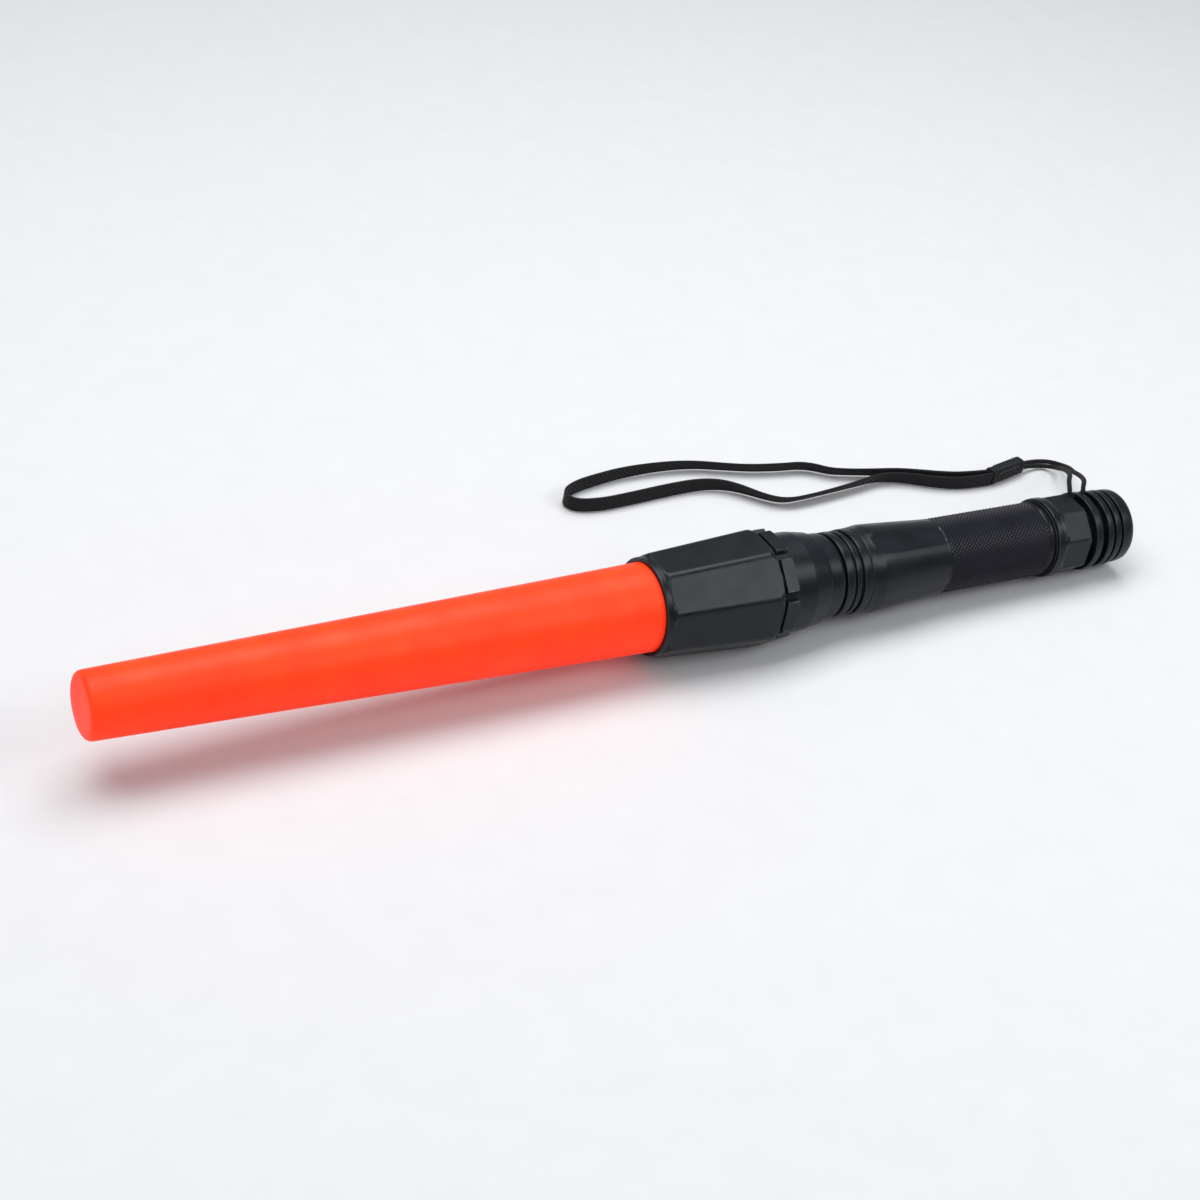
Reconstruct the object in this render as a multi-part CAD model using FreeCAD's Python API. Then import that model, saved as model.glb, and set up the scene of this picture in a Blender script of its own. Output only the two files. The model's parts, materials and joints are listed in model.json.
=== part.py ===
import FreeCAD, Part
import math
import os

# A traffic baton light: a hand torch with a sliding focus head, a hollow signal cone pushed into
# the head's mouth, a screwed tail cap with a push switch, and a wrist lanyard.
#
# Every turned piece is drawn about the torch's own axis. x runs along that axis, 0 at the head's
# front rim, towards the tail, and r is the radius. The baton is then tipped by REST_TILT, because
# it lies on one flat of its wide head and on the ring round its narrower tail. The lanyard lies on
# the floor, so its route is given in the tipped frame: +Z up, floor at z = 0. Sizes are in mm.

V = FreeCAD.Vector
AXIS = V(1, 0, 0)
ORIGIN = V(0, 0, 0)

# Cone
CONE_TIP_X = -180.0
CONE_TIP_R = 10.1
CONE_MOUTH_R = 14.1
CONE_WALL = 1.5
CONE_CORNER = 2.2
CONE_SEAT = 8.0

# Sliding head
HEAD_LIP_R = 15.6
HEAD_FRONT_R = 16.7
HEAD_MAX_R = 19.0
HEAD_END_X = 40.7
FACET_COUNT = 8
FACET_START_X = 2.0
FACET_START_R = 15.6
FACET_END_R = 17.9
COLLAR_START_X = 40.9
COLLAR_END_X = 67.2
COLLAR_BORE_R = 12.3

# Neck and barrel
NECK_R = 12.15
NECK_START_X = 22.5
BARREL_START_X = 77.6
BARREL_END_X = 152.9
BARREL_R = 12.5
FLARE_R = 14.35
CELL_BORE_R = 8.8
SPIGOT_R = 10.9
TAIL_THREAD_R = 10.7

# Cells
CELL_COUNT = 3
CELL_R = 8.4
CELL_LENGTH = 34.2
CELL_START_X = 46.2
CAN_WALL = 0.3

# Tail cap and switch
TAIL_START_X = 153.55
TAIL_END_X = 187.0
TAIL_R = 13.4
EYE_RING_X = 169.8
EYE_RING_END_X = 172.4
EYE_RING_R = 13.3
EYE_R = 1.1
EYE_PITCH_R = 11.4
EYE_ANGLE = 20.0
FIT_GAP = 0.1

# Lanyard
CORD_D = 1.6
STRAP_W = 5.5
STRAP_T = 1.3
STRAP_Z = 2.95
TAB_LENGTH = 17.0
TAB_WIDTH = 4.8
TAB_HEIGHT = 6.2
TAB_CENTRE = (178.5, 53.0)
TAB_TURN = 12.0
BEND_SHARE = 0.45

# The strap's route on the floor, as (x, y): out along the upper strand, round the end of the
# loop, and back along the lower strand. It stands on its edge.
STRAP_ROUTE = [
    (169.9, 52.4), (160.2, 53.9), (152.4, 57.2), (146.0, 60.9), (139.0, 64.6), (129.4, 67.6),
    (122.0, 70.0), (115.6, 72.4), (111.2, 76.6), (106.2, 79.0), (99.2, 79.9), (88.0, 82.8),
    (78.5, 86.9), (70.0, 90.5), (61.0, 92.4), (50.0, 93.2), (40.5, 93.0), (31.5, 91.8),
    (22.4, 90.2), (15.4, 86.4), (15.8, 80.0), (25.0, 77.4), (38.0, 77.8), (52.0, 78.6),
    (64.5, 78.6), (72.8, 76.2), (78.6, 71.6), (84.6, 64.2), (90.2, 60.6), (98.5, 60.6),
    (110.0, 61.4), (121.5, 62.4), (129.8, 63.6), (138.2, 61.2), (144.2, 57.4), (151.0, 53.4),
    (159.6, 50.4), (170.4, 50.0),
]

# The thin cord's route, as (x, y, z): from the tab, up to the eye in the tail cap, through the
# eye, round the eye ring and back to the tab.
CORD_ROUTE = [
    (186.5, 55.9, 2.6), (191.5, 57.3, 1.5), (197.2, 57.6, 1.0), (201.9, 55.4, 1.2),
    (203.4, 50.2, 2.4), (201.2, 44.4, 5.2), (196.8, 37.4, 8.6), (191.4, 30.0, 13.4),
    (185.4, 22.0, 18.4), (179.4, 14.6, 23.0), (174.4, 9.0, 26.4), (171.0, 5.4, 27.5),
    (170.3, 3.9, 24.1), (165.1, 3.9, 24.3), (165.0, 5.3, 27.6), (167.4, 9.2, 28.4),
    (173.0, 14.8, 25.6), (179.8, 22.6, 20.6), (186.4, 30.6, 15.4), (192.4, 38.4, 10.2),
    (196.9, 45.1, 5.6), (199.4, 50.4, 2.4), (197.8, 54.0, 1.0), (192.4, 54.8, 1.5),
    (187.0, 53.8, 2.7),
]


# ---- drawing helpers ----------------------------------------------------------------------------

def rounded_corner(before, corner, after, radius):
    """The arc of the given radius that rounds a corner between two straight lines."""
    back = (before - corner).normalize()
    ahead = (after - corner).normalize()
    half = back.getAngle(ahead) / 2
    reach = radius / math.tan(half)
    centre = corner + (back + ahead).normalize() * (radius / math.sin(half))
    middle = centre + (corner - centre).normalize() * radius
    return Part.Arc(corner + back * reach, middle, corner + ahead * reach)


def joined(corners, radii, closed):
    """A wire of straight lines through the corners, with an arc at each corner with a radius."""
    count = len(corners)
    edges = []
    first = last = None
    for i in range(count):
        corner = corners[i]
        start = end = corner
        if radii[i] > 0:
            arc = rounded_corner(corners[i - 1], corner, corners[(i + 1) % count], radii[i])
            start, end = arc.StartPoint, arc.EndPoint
        if last is None:
            first = start
        else:
            edges.append(Part.LineSegment(last, start).toShape())
        if radii[i] > 0:
            edges.append(arc.toShape())
        last = end
    if closed:
        edges.append(Part.LineSegment(last, first).toShape())
    return Part.Wire(edges)


def turned(*points):
    """A solid turned about the axis; a point is (x, r) or (x, r, corner radius)."""
    corners = [V(point[0], 0, point[1]) for point in points]
    radii = [point[2] if len(point) > 2 else 0 for point in points]
    face = Part.Face(joined(corners, radii, True))
    return face.revolve(ORIGIN, AXIS, 360)


def rod(x0, x1, r, inner=0.0, y=0.0, z=0.0):
    """A round bar, or a tube, along the axis between x0 and x1."""
    bar = Part.makeCylinder(r, x1 - x0, V(x0, y, z), AXIS)
    if inner > 0:
        bar = bar.cut(Part.makeCylinder(inner, x1 - x0, V(x0, y, z), AXIS))
    return bar


def block(x0, x1, y0, y1, z0, z1):
    """A box between two corners."""
    return Part.makeBox(x1 - x0, y1 - y0, z1 - z0, V(x0, y0, z0))


def around(shape, count, first_deg=0.0):
    """Copies of a shape, evenly spaced about the axis."""
    copies = []
    for i in range(count):
        copy = shape.copy()
        copy.rotate(ORIGIN, AXIS, first_deg + 360.0 * i / count)
        copies.append(copy)
    return copies


def flat_cutter(x0, r0, x1, r1, reach=10.0, half_width=20.0):
    """The metal above a flat on the -Z side that goes from radius r0 at x0 to r1 at x1."""
    corners = [V(x0, -half_width, -r0), V(x1, -half_width, -r1)]
    corners += [V(x1, -half_width, -r1 - reach), V(x0, -half_width, -r0 - reach)]
    face = Part.Face(joined(corners, [0] * 4, True))
    return face.extrude(V(0, 2 * half_width, 0))


def o_ring(x, ring_r, section_r):
    """A rubber ring about the axis."""
    return Part.makeTorus(ring_r, section_r, V(x, 0, 0), AXIS)


def coil_spring(x0, x1, r, wire_r, turns):
    """A round-wire spring between two planes, r being the radius of the wire's centre line."""
    rise = x1 - x0 - 2 * wire_r
    helix = Part.makeHelix(rise / turns, rise, r)
    start = helix.Edges[0].valueAt(helix.Edges[0].FirstParameter)
    ahead = helix.Edges[0].tangentAt(helix.Edges[0].FirstParameter)
    section = Part.Wire(Part.makeCircle(wire_r, start, ahead))
    spring = Part.Wire(helix.Edges).makePipeShell([section], True, True)
    spring.rotate(ORIGIN, V(0, 1, 0), 90)
    spring.translate(V(x0 + wire_r, 0, 0))
    return spring


def rings(spans, groove_r):
    """Outline points of a row of ribs, given as (x0, x1, r), standing out of a groove floor."""
    points = []
    for x0, x1, r in spans:
        points += [(x0, groove_r), (x0, r, 0.3), (x1, r, 0.3), (x1, groove_r)]
    return points


# ---- the cone -----------------------------------------------------------------------------------

def cone_shell():
    """Hollow moulded cone: closed at the tip, open where it fits the head's mouth."""
    inner_tip_x = CONE_TIP_X + CONE_WALL
    inner_tip_r = CONE_TIP_R - CONE_WALL
    inner_mouth_r = CONE_MOUTH_R - CONE_WALL
    return turned(
        (CONE_TIP_X, 0), (CONE_TIP_X, CONE_TIP_R, CONE_CORNER), (0, CONE_MOUTH_R),
        (CONE_SEAT, CONE_MOUTH_R), (CONE_SEAT, inner_mouth_r), (0, inner_mouth_r),
        (inner_tip_x, inner_tip_r, CONE_CORNER - 1.0), (inner_tip_x, 0),
    )


# ---- the sliding head ---------------------------------------------------------------------------

def head_shell():
    """Faceted head: cone socket, lens seat, focusing chamber and the thread for the collar."""
    body = turned(
        (0, CONE_MOUTH_R + FIT_GAP), (0, HEAD_LIP_R, 0.5), (FACET_START_X, HEAD_LIP_R),
        (FACET_START_X + 1.1, HEAD_FRONT_R, 0.5),
        (HEAD_END_X - 1.8, HEAD_MAX_R, 0.6), (HEAD_END_X, HEAD_MAX_R - 0.4, 0.4),
        (HEAD_END_X, 14.8), (34.5, 14.8), (34.5, 13.9), (14.6, 13.9), (14.6, 13.0),
        (13.4, 13.0), (13.4, 14.0), (8.4, 14.0), (8.4, CONE_MOUTH_R + FIT_GAP),
    )
    facet = flat_cutter(FACET_START_X, FACET_START_R, HEAD_END_X, FACET_END_R)
    return body.cut(around(facet, FACET_COUNT))


def lens_ring():
    """Threaded ring that holds the lens down, with two spanner slots."""
    ring = rod(8.5, 11.2, 13.95, 12.3)
    slot = block(8.5, 9.5, -1.0, 1.0, 12.0, 14.5)
    return ring.cut(around(slot, 2))


def lens_gasket():
    """Flat rubber ring between the lens and its threaded ring."""
    return rod(11.2, 11.8, 13.6, 12.2)


def focus_lens():
    """Plano-convex lens with a flange round its edge; the dome faces forward."""
    dome_front, dome_r, flange_x = 5.5, 12.0, 11.8
    rise = flange_x - dome_front
    sphere_r = (dome_r ** 2 + rise ** 2) / (2 * rise)
    centre_x = dome_front + sphere_r
    turn = math.asin(dome_r / sphere_r) / 2
    middle = V(centre_x - sphere_r * math.cos(turn), 0, sphere_r * math.sin(turn))
    dome = Part.Arc(V(dome_front, 0, 0), middle, V(flange_x, 0, dome_r)).toShape()
    path = [(flange_x, dome_r), (flange_x, 13.7), (13.3, 13.7), (13.3, 12.8), (17.0, 11.8), (17.0, 0)]
    corners = [V(x, 0, r) for x, r in path] + [V(dome_front, 0, 0)]
    sides = [Part.LineSegment(a, b).toShape() for a, b in zip(corners, corners[1:])]
    return Part.Face(Part.Wire([dome] + sides)).revolve(ORIGIN, AXIS, 360)


def head_collar():
    """Rear part of the head: threaded spigot, notched grip ring, taper and sliding bore."""
    body = turned(
        (34.6, COLLAR_BORE_R), (34.6, 14.7), (COLLAR_START_X, 14.7), (COLLAR_START_X, 16.6),
        (42.2, 16.6), (42.2, 18.5, 0.4), (46.6, 18.2, 0.5), (46.6, 16.2), (54.5, 16.0, 3.0),
        (60.8, 14.9, 0.5), (61.6, 14.2), (66.0, 13.9, 0.8), (COLLAR_END_X, 13.3, 0.4),
        (COLLAR_END_X, COLLAR_BORE_R),
    )
    grip_flat = flat_cutter(42.0, 17.45, 46.6, 17.45)
    notch = block(42.0, 46.6, -1.3, 1.3, 16.6, 20.0)
    half_step = 180.0 / FACET_COUNT
    cutters = around(grip_flat, FACET_COUNT) + around(notch, FACET_COUNT, half_step)
    return body.cut(cutters)


# ---- the neck and what it carries ---------------------------------------------------------------

def neck_tube():
    """Tube that the head slides on: stop flange, two seal grooves, ribs and a threaded spigot."""
    ribs = rings([(67.8, 70.6, 13.8), (71.6, 73.2, 13.7), (74.4, 77.5, 13.9)], 12.9)
    outside = [
        (NECK_START_X, 10.6), (NECK_START_X, 13.4, 0.3), (26.0, 13.4, 0.3), (26.0, NECK_R),
        (49.2, NECK_R), (49.2, 11.1), (51.0, 11.1), (51.0, NECK_R),
        (59.2, NECK_R), (59.2, 11.1), (61.0, 11.1), (61.0, NECK_R), (67.8, NECK_R),
    ]
    spigot = [
        (77.5, SPIGOT_R), (78.3, SPIGOT_R), (78.3, 9.9), (79.9, 9.9), (79.9, SPIGOT_R),
        (86.0, SPIGOT_R, 0.3), (86.0, CELL_BORE_R),
    ]
    inside = [(38.2, CELL_BORE_R), (38.2, 10.6)]
    return turned(*outside, *ribs, *spigot, *inside)


def neck_seals():
    """The two rubber rings that the head's collar slides on."""
    return [o_ring(50.1, 11.69, 0.58), o_ring(60.1, 11.69, 0.58)]


def front_seal():
    """Rubber ring between the neck tube and the barrel."""
    return o_ring(79.1, 10.44, 0.53)


def led_pill():
    """Brass carrier: the LED board sits on its floor and the driver board in its back."""
    cup = turned(
        (26.0, 0), (26.0, 10.5), (38.0, 10.5), (38.0, 8.55), (35.0, 8.55), (35.0, 8.0),
        (29.0, 8.0), (29.0, 0),
    )
    return cup.cut([rod(25.5, 29.5, 0.8, y=side * 5.5) for side in (-1, 1)])


def star_board():
    """Round metal-core board under the LED, with a hole for each lead."""
    board = rod(24.4, 26.0, 8.0)
    return board.cut([rod(24.0, 26.5, 0.8, y=side * 5.5) for side in (-1, 1)])


def led_emitter():
    """LED package: ceramic base and clear dome."""
    base = block(23.6, 24.4, -1.75, 1.75, -1.75, 1.75)
    dome = Part.makeSphere(1.4, V(23.6, 0, 0), V(-1, 0, 0), 0, 90, 360)
    return base.fuse(dome).removeSplitter()


def star_insulator():
    """White plastic ring that centres the LED and covers the board's pads."""
    return rod(23.4, 24.4, 7.8, 6.6).fuse(rod(23.4, 23.9, 7.8, 2.7)).removeSplitter()


def led_leads():
    """Two wires from the driver board to the LED board."""
    return [rod(24.4, 35.0, 0.6, y=side * 5.5) for side in (-1, 1)]


def driver_board():
    """Round circuit board that feeds the LED."""
    return rod(35.0, 36.2, 8.5)


def driver_parts():
    """The coil, the chip and two capacitors on the driver board."""
    coil = rod(31.4, 35.0, 2.6, y=0, z=3.6)
    chip = block(33.6, 35.0, -2.4, 2.4, -5.4, -1.6)
    capacitors = [block(33.8, 35.0, side * 3.4 - 0.7, side * 3.4 + 0.7, -0.9, 0.9) for side in (-1, 1)]
    return [coil, chip] + capacitors


def driver_spring():
    """Spring contact for the front cell."""
    return coil_spring(36.2, CELL_START_X - 0.02, 3.4, 0.35, 4)


# ---- the barrel and the cells -------------------------------------------------------------------

def barrel_tube():
    """Barrel: flared front with two milled flats, plain grip zone and threaded tail."""
    body = turned(
        (BARREL_START_X, 11.0), (BARREL_START_X, 13.9, 0.3), (79.6, 14.0), (82.6, FLARE_R, 1.5),
        (86.0, 14.2, 6.0), (101.0, 13.1, 20.0), (109.0, BARREL_R), (151.4, BARREL_R, 0.4),
        (151.4, 12.0), (BARREL_END_X, 12.0), (BARREL_END_X, TAIL_THREAD_R),
        (154.4, TAIL_THREAD_R), (154.4, 9.8), (156.0, 9.8), (156.0, TAIL_THREAD_R),
        (161.8, TAIL_THREAD_R, 0.4), (161.8, CELL_BORE_R), (86.2, CELL_BORE_R), (86.2, 11.0),
    )
    flat = flat_cutter(80.8, 13.9, 109.0, 12.05)
    return body.cut(around(flat, 2, 20.0))


def rear_seal():
    """Rubber ring between the barrel and the tail cap."""
    return o_ring(155.2, 10.28, 0.46)


def cell_starts():
    """Where each cell begins along the axis."""
    return [CELL_START_X + i * CELL_LENGTH for i in range(CELL_COUNT)]


def cell_cans():
    """Steel can of each cell, closed at both ends."""
    cans = []
    for x in cell_starts():
        can = rod(x + 1.0, x + CELL_LENGTH - 0.02, CELL_R)
        hollow = rod(x + 1.0 + CAN_WALL, x + CELL_LENGTH - 0.02 - CAN_WALL, CELL_R - CAN_WALL)
        cans.append(can.cut(hollow))
    return cans


def cell_cores():
    """Wound electrodes inside each can."""
    inset = 2 * CAN_WALL
    return [rod(x + 1.0 + inset, x + CELL_LENGTH - inset, CELL_R - inset) for x in cell_starts()]


def cell_caps():
    """Positive cap of each cell."""
    return [rod(x, x + 0.98, 3.0) for x in cell_starts()]


def cell_insulators():
    """White fibre ring round each positive cap."""
    return [rod(x + 0.7, x + 0.98, 6.8, 3.2) for x in cell_starts()]


def cell_wraps():
    """Printed plastic sleeve of each cell."""
    return [rod(x + 0.9, x + CELL_LENGTH - 0.1, CELL_R + 0.15, CELL_R + 0.02) for x in cell_starts()]


# ---- the tail cap and the switch ----------------------------------------------------------------

def thrust_washer():
    """Nylon washer between the barrel and the tail cap."""
    return rod(BARREL_END_X + 0.05, TAIL_START_X - 0.05, 12.6, TAIL_THREAD_R + 0.15)


def tail_cap():
    """Tail cap: scalloped collar, eye ring for the lanyard, two ribs and a rounded end."""
    ribs = rings([(EYE_RING_X, EYE_RING_END_X, EYE_RING_R), (175.2, 177.4, 13.0),
                  (178.6, 180.8, 12.8)], 10.5)
    body = turned(
        (TAIL_START_X, TAIL_THREAD_R + FIT_GAP), (TAIL_START_X, TAIL_R, 0.5),
        (167.3, TAIL_R, 0.5), (167.3, 10.5), *ribs, (182.0, 10.5), (182.0, 12.6, 0.3),
        (TAIL_END_X, 12.4, 2.6), (TAIL_END_X, 7.6, 0.3), (177.5, 7.6), (177.5, 9.3),
        (163.4, 9.3), (163.4, TAIL_THREAD_R + FIT_GAP),
    )
    scallop = flat_cutter(157.0, 12.45, 168.0, 12.45)
    eye = rod(EYE_RING_X - 0.5, EYE_RING_END_X + 0.5, EYE_R, z=EYE_PITCH_R)
    eye.rotate(ORIGIN, AXIS, -EYE_ANGLE)
    return body.cut(around(scallop, FACET_COUNT) + [eye])


def switch_retaining_ring():
    """Threaded ring that holds the switch in the tail cap, with two spanner holes."""
    ring = rod(163.6, 166.0, 9.25, 5.5)
    return ring.cut([rod(163.0, 165.0, 0.8, y=side * 7.4) for side in (-1, 1)])


def switch_board():
    """Round circuit board that carries the battery spring and the switch."""
    return rod(166.0, 167.2, 9.1)


def battery_spring():
    """Spring that presses the cells forward."""
    last_cell_x = CELL_START_X + CELL_COUNT * CELL_LENGTH
    return coil_spring(last_cell_x + 0.02, 166.0, 4.2, 0.5, 7)


def switch_housing():
    """Plastic body of the switch, with the plunger's bore."""
    return turned(
        (167.2, 0), (167.2, 8.6, 0.3), (170.0, 8.6), (170.0, 6.6), (174.2, 6.6, 0.3),
        (174.2, 3.6), (168.4, 3.6), (168.4, 0),
    )


def boot_spacer():
    """Plastic ring that clamps the boot's flange against the tail cap."""
    return rod(170.1, 176.4, 9.2, 7.0)


def plunger_spring():
    """Spring that returns the plunger."""
    return coil_spring(168.42, 171.78, 2.5, 0.32, 3)


def switch_plunger():
    """The switch's moving plunger: guide pin, guide, head and push post."""
    return turned(
        (170.2, 0), (170.2, 1.2), (171.8, 1.2), (171.8, 3.3), (176.2, 3.3), (176.2, 4.6),
        (177.6, 4.6), (177.6, 2.6), (184.7, 2.6, 0.6), (184.7, 0),
    )


def tail_boot():
    """Rubber cover over the plunger: clamped flange, side wall and domed push face."""
    return turned(
        (176.5, 5.6), (176.5, 9.2), (177.4, 9.2), (177.4, 7.4), (184.2, 7.4, 1.2),
        (186.3, 4.6, 6.0), (186.5, 0), (185.1, 0), (184.9, 4.2), (183.2, 6.0, 0.6),
        (178.0, 6.0), (178.0, 5.6),
    )


# ---- the lanyard --------------------------------------------------------------------------------

def bend_radii(route):
    """The radius at each inner point of a route: as large as the two runs beside it allow."""
    radii = []
    for before, point, after in zip(route, route[1:], route[2:]):
        run_in, run_out = point - before, after - point
        turn = run_in.getAngle(run_out)
        shorter = min(run_in.Length, run_out.Length)
        radii.append(BEND_SHARE * shorter / math.tan(turn / 2))
    return radii


def swept(route, section, name, size):
    """A section carried along the route's runs and arcs, checked against its length."""
    radii = bend_radii(route)
    wire = joined(route, [0] + radii + [0], False)
    solid = wire.makePipeShell([section], True, True)
    print(name, "length", round(wire.Length, 1), "tightest radius / size", round(min(radii) / size, 2))
    print(name, "radii", [round(radius, 1) for radius in radii])
    print(name, "volume ratio", round(solid.Volume / (Part.Face(section).Area * wire.Length), 3))
    return solid


def lanyard_strap():
    """Flat woven strap standing on its edge: one loop whose two ends lie together in the tab."""
    route = [V(x, y, STRAP_Z) for x, y in STRAP_ROUTE]
    ahead = (route[1] - route[0]).normalize()
    side = ahead.cross(V(0, 0, 1)) * (STRAP_T / 2)
    up = V(0, 0, STRAP_W / 2)
    corners = [route[0] + side + up, route[0] - side + up, route[0] - side - up, route[0] + side - up]
    section = Part.makePolygon(corners + corners[:1])
    return swept(route, section, "strap", STRAP_W)


def lanyard_cord():
    """Thin round cord through the tail cap's eye, both ends in the tab."""
    route = [V(*point) for point in CORD_ROUTE]
    section = Part.Wire(Part.makeCircle(CORD_D / 2, route[0], route[1] - route[0]))
    return swept(route, section, "cord", CORD_D)


def lanyard_tab():
    """Sewn tab where the strap's ends and the cord's ends are stitched together."""
    half = TAB_LENGTH / 2
    tab = block(-half, half, -TAB_WIDTH / 2, TAB_WIDTH / 2, 0, TAB_HEIGHT)
    tab = tab.makeFillet(1.2, [edge for edge in tab.Edges if abs(edge.tangentAt(0).x) > 0.9])
    tab.rotate(ORIGIN, V(0, 0, 1), TAB_TURN)
    tab.translate(V(*TAB_CENTRE, 0))
    return tab


# ---- putting it together ------------------------------------------------------------------------

TURNED_PIECES = [
    cone_shell, head_shell, lens_ring, lens_gasket, focus_lens, head_collar, neck_tube,
    neck_seals, front_seal, led_pill, star_board, led_emitter, star_insulator, led_leads,
    driver_board, driver_parts, driver_spring, barrel_tube, rear_seal, cell_cans, cell_cores,
    cell_caps, cell_insulators, cell_wraps, thrust_washer, tail_cap, switch_retaining_ring,
    switch_board, battery_spring, switch_housing, boot_spacer, plunger_spring, switch_plunger,
    tail_boot,
]
LAID_PIECES = [lanyard_strap, lanyard_cord, lanyard_tab]

# The baton rests on the back edge of the head's lowest flat and on the eye ring's back edge.
REST_TILT = math.degrees(math.atan2(FACET_END_R - EYE_RING_R, EYE_RING_END_X - HEAD_END_X))


def solids_of(made):
    """The separate solids of a piece, whether it is one solid or several."""
    shapes = made if isinstance(made, list) else [made]
    return [solid for shape in shapes for solid in shape.Solids]


def tipped(solids):
    """The solids turned about Y to the angle at which the baton rests."""
    for solid in solids:
        solid.rotate(ORIGIN, V(0, 1, 0), REST_TILT)
    return solids


def main():
    pieces = {make.__name__: tipped(solids_of(make())) for make in TURNED_PIECES}
    everything = Part.Compound([solid for solids in pieces.values() for solid in solids])
    box = everything.optimalBoundingBox(False)
    shift = V(-(box.XMin + box.XMax) / 2, -(box.YMin + box.YMax) / 2, -box.ZMin)
    for solids in pieces.values():
        for solid in solids:
            solid.translate(shift)
    for make in LAID_PIECES:
        pieces[make.__name__] = solids_of(make())
    print("rest tilt", round(REST_TILT, 4), "deg; x = 0 on the axis lies at", shift)

    os.makedirs("parts", exist_ok=True)
    for name, solids in pieces.items():
        for solid in solids:
            if not solid.isValid() or solid.Volume <= 0:
                print("NOT VALID", name, solid.Volume)
        shape = solids[0] if len(solids) == 1 else Part.Compound(solids)
        shape.exportStep("parts/" + name + ".step")
    print(len(pieces), "nodes, box", box)


main()
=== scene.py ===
import json
import logging
import math
from collections.abc import Callable, Sequence
from dataclasses import dataclass
from enum import Enum
from typing import Any

import bmesh
import bpy
import numpy as np
from mathutils import Matrix, Vector


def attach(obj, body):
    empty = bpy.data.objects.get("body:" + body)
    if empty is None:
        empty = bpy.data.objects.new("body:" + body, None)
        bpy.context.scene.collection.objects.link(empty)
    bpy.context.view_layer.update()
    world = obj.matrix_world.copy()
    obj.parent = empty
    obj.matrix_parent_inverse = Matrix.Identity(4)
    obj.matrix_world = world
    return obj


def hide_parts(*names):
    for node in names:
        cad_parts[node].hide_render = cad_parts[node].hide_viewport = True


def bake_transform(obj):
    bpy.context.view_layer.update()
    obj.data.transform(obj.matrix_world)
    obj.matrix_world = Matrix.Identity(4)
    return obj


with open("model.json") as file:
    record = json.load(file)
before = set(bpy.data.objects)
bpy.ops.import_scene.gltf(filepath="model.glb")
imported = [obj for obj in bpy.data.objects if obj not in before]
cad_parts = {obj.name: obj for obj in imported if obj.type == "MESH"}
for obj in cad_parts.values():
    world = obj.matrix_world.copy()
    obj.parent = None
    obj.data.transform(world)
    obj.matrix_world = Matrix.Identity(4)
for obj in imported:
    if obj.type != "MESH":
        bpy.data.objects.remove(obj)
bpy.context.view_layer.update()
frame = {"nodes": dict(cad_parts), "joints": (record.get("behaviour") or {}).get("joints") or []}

log = logging.getLogger("traffic_baton")

MM = 0.001
WEAR = "edge_wear"
WEAVE_UV = "weave"

Corners = Sequence[tuple[float, ...]]
# A trim takes stations and radii in millimetres and angles in radians, and gives the new radii.
Trim = Callable[[np.ndarray, np.ndarray, np.ndarray], np.ndarray]
Tree = bpy.types.NodeTree
Socket = bpy.types.NodeSocket
Piece = bpy.types.Object


# ---- the torch's own frame ---------------------------------------------------------------------

@dataclass(frozen=True)
class TorchAxis:
    """The torch's axis in the row frame: x runs from the head's front rim to the tail."""

    matrix: Matrix

    @classmethod
    def from_joint(cls, name: str, station_mm: float) -> "TorchAxis":
        """Reads the axis from a joint that turns about it.

        Args:
            name: The joint's name.
            station_mm: The distance of the joint's point from the head's front rim.

        Returns:
            The torch's axis.
        """
        joint = next(j for j in frame["joints"] if j["name"] == name)
        along = Vector(joint["axis"]).normalized()
        side = Vector((0, 1, 0))
        up = along.cross(side)
        origin = Vector(joint["pos_m"]) - along * station_mm * MM
        matrix = Matrix((along, side, up)).transposed().to_4x4()
        matrix.translation = origin
        return cls(matrix)

    def place(self, x: float, y: float = 0.0, z: float = 0.0) -> Vector:
        """The row-frame point for a torch point in millimetres."""
        return self.matrix @ Vector((x * MM, y * MM, z * MM))

    def tilt(self) -> float:
        """The angle in radians by which the torch's axis dips towards its tail."""
        return math.asin(-self.matrix.col[0].z)


AXIS = TorchAxis.from_joint("tail_unscrew", 155.0)


# ---- nodes ---------------------------------------------------------------------------------------

def add_node(
    tree: Tree,
    kind: str,
    settings: dict[str, Any] | None = None,
    inputs: dict[str | int, Any] | None = None,
) -> bpy.types.Node:
    """Adds one node with its settings, values and links.

    Args:
        tree: The tree that gets the node.
        kind: The node's type name.
        settings: The node's own properties.
        inputs: Values or sockets for its inputs, by name or by index.

    Returns:
        The new node.
    """
    node = tree.nodes.new(kind)
    for name, value in (settings or {}).items():
        setattr(node, name, value)
    for key, value in (inputs or {}).items():
        if isinstance(value, Socket):
            tree.links.new(value, node.inputs[key])
        else:
            node.inputs[key].default_value = value
    return node


def linear(hex_colour: str) -> tuple[float, float, float, float]:
    """The linear colour, with alpha 1, of an sRGB hex colour such as "#FF8800"."""
    channels = [int(hex_colour[i:i + 2], 16) / 255 for i in (1, 3, 5)]
    bent = [c / 12.92 if c <= 0.04045 else ((c + 0.055) / 1.055) ** 2.4 for c in channels]
    return (*bent, 1.0)


def per_metre(size_mm: float) -> float:
    """The scale of a noise whose features are this many millimetres across."""
    return 1 / (size_mm * MM)


def noise_of(where: Socket, size_mm: float, detail: float = 3.0) -> dict[str, Any]:
    """The inputs of a noise whose features are this many millimetres across."""
    return {"Vector": where, "Scale": per_metre(size_mm), "Detail": detail}


def wave_scale(period: float) -> float:
    """The scale of a Wave texture whose bands repeat after this period."""
    return math.tau / (20 * period)


# ---- finishes ------------------------------------------------------------------------------------

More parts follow.
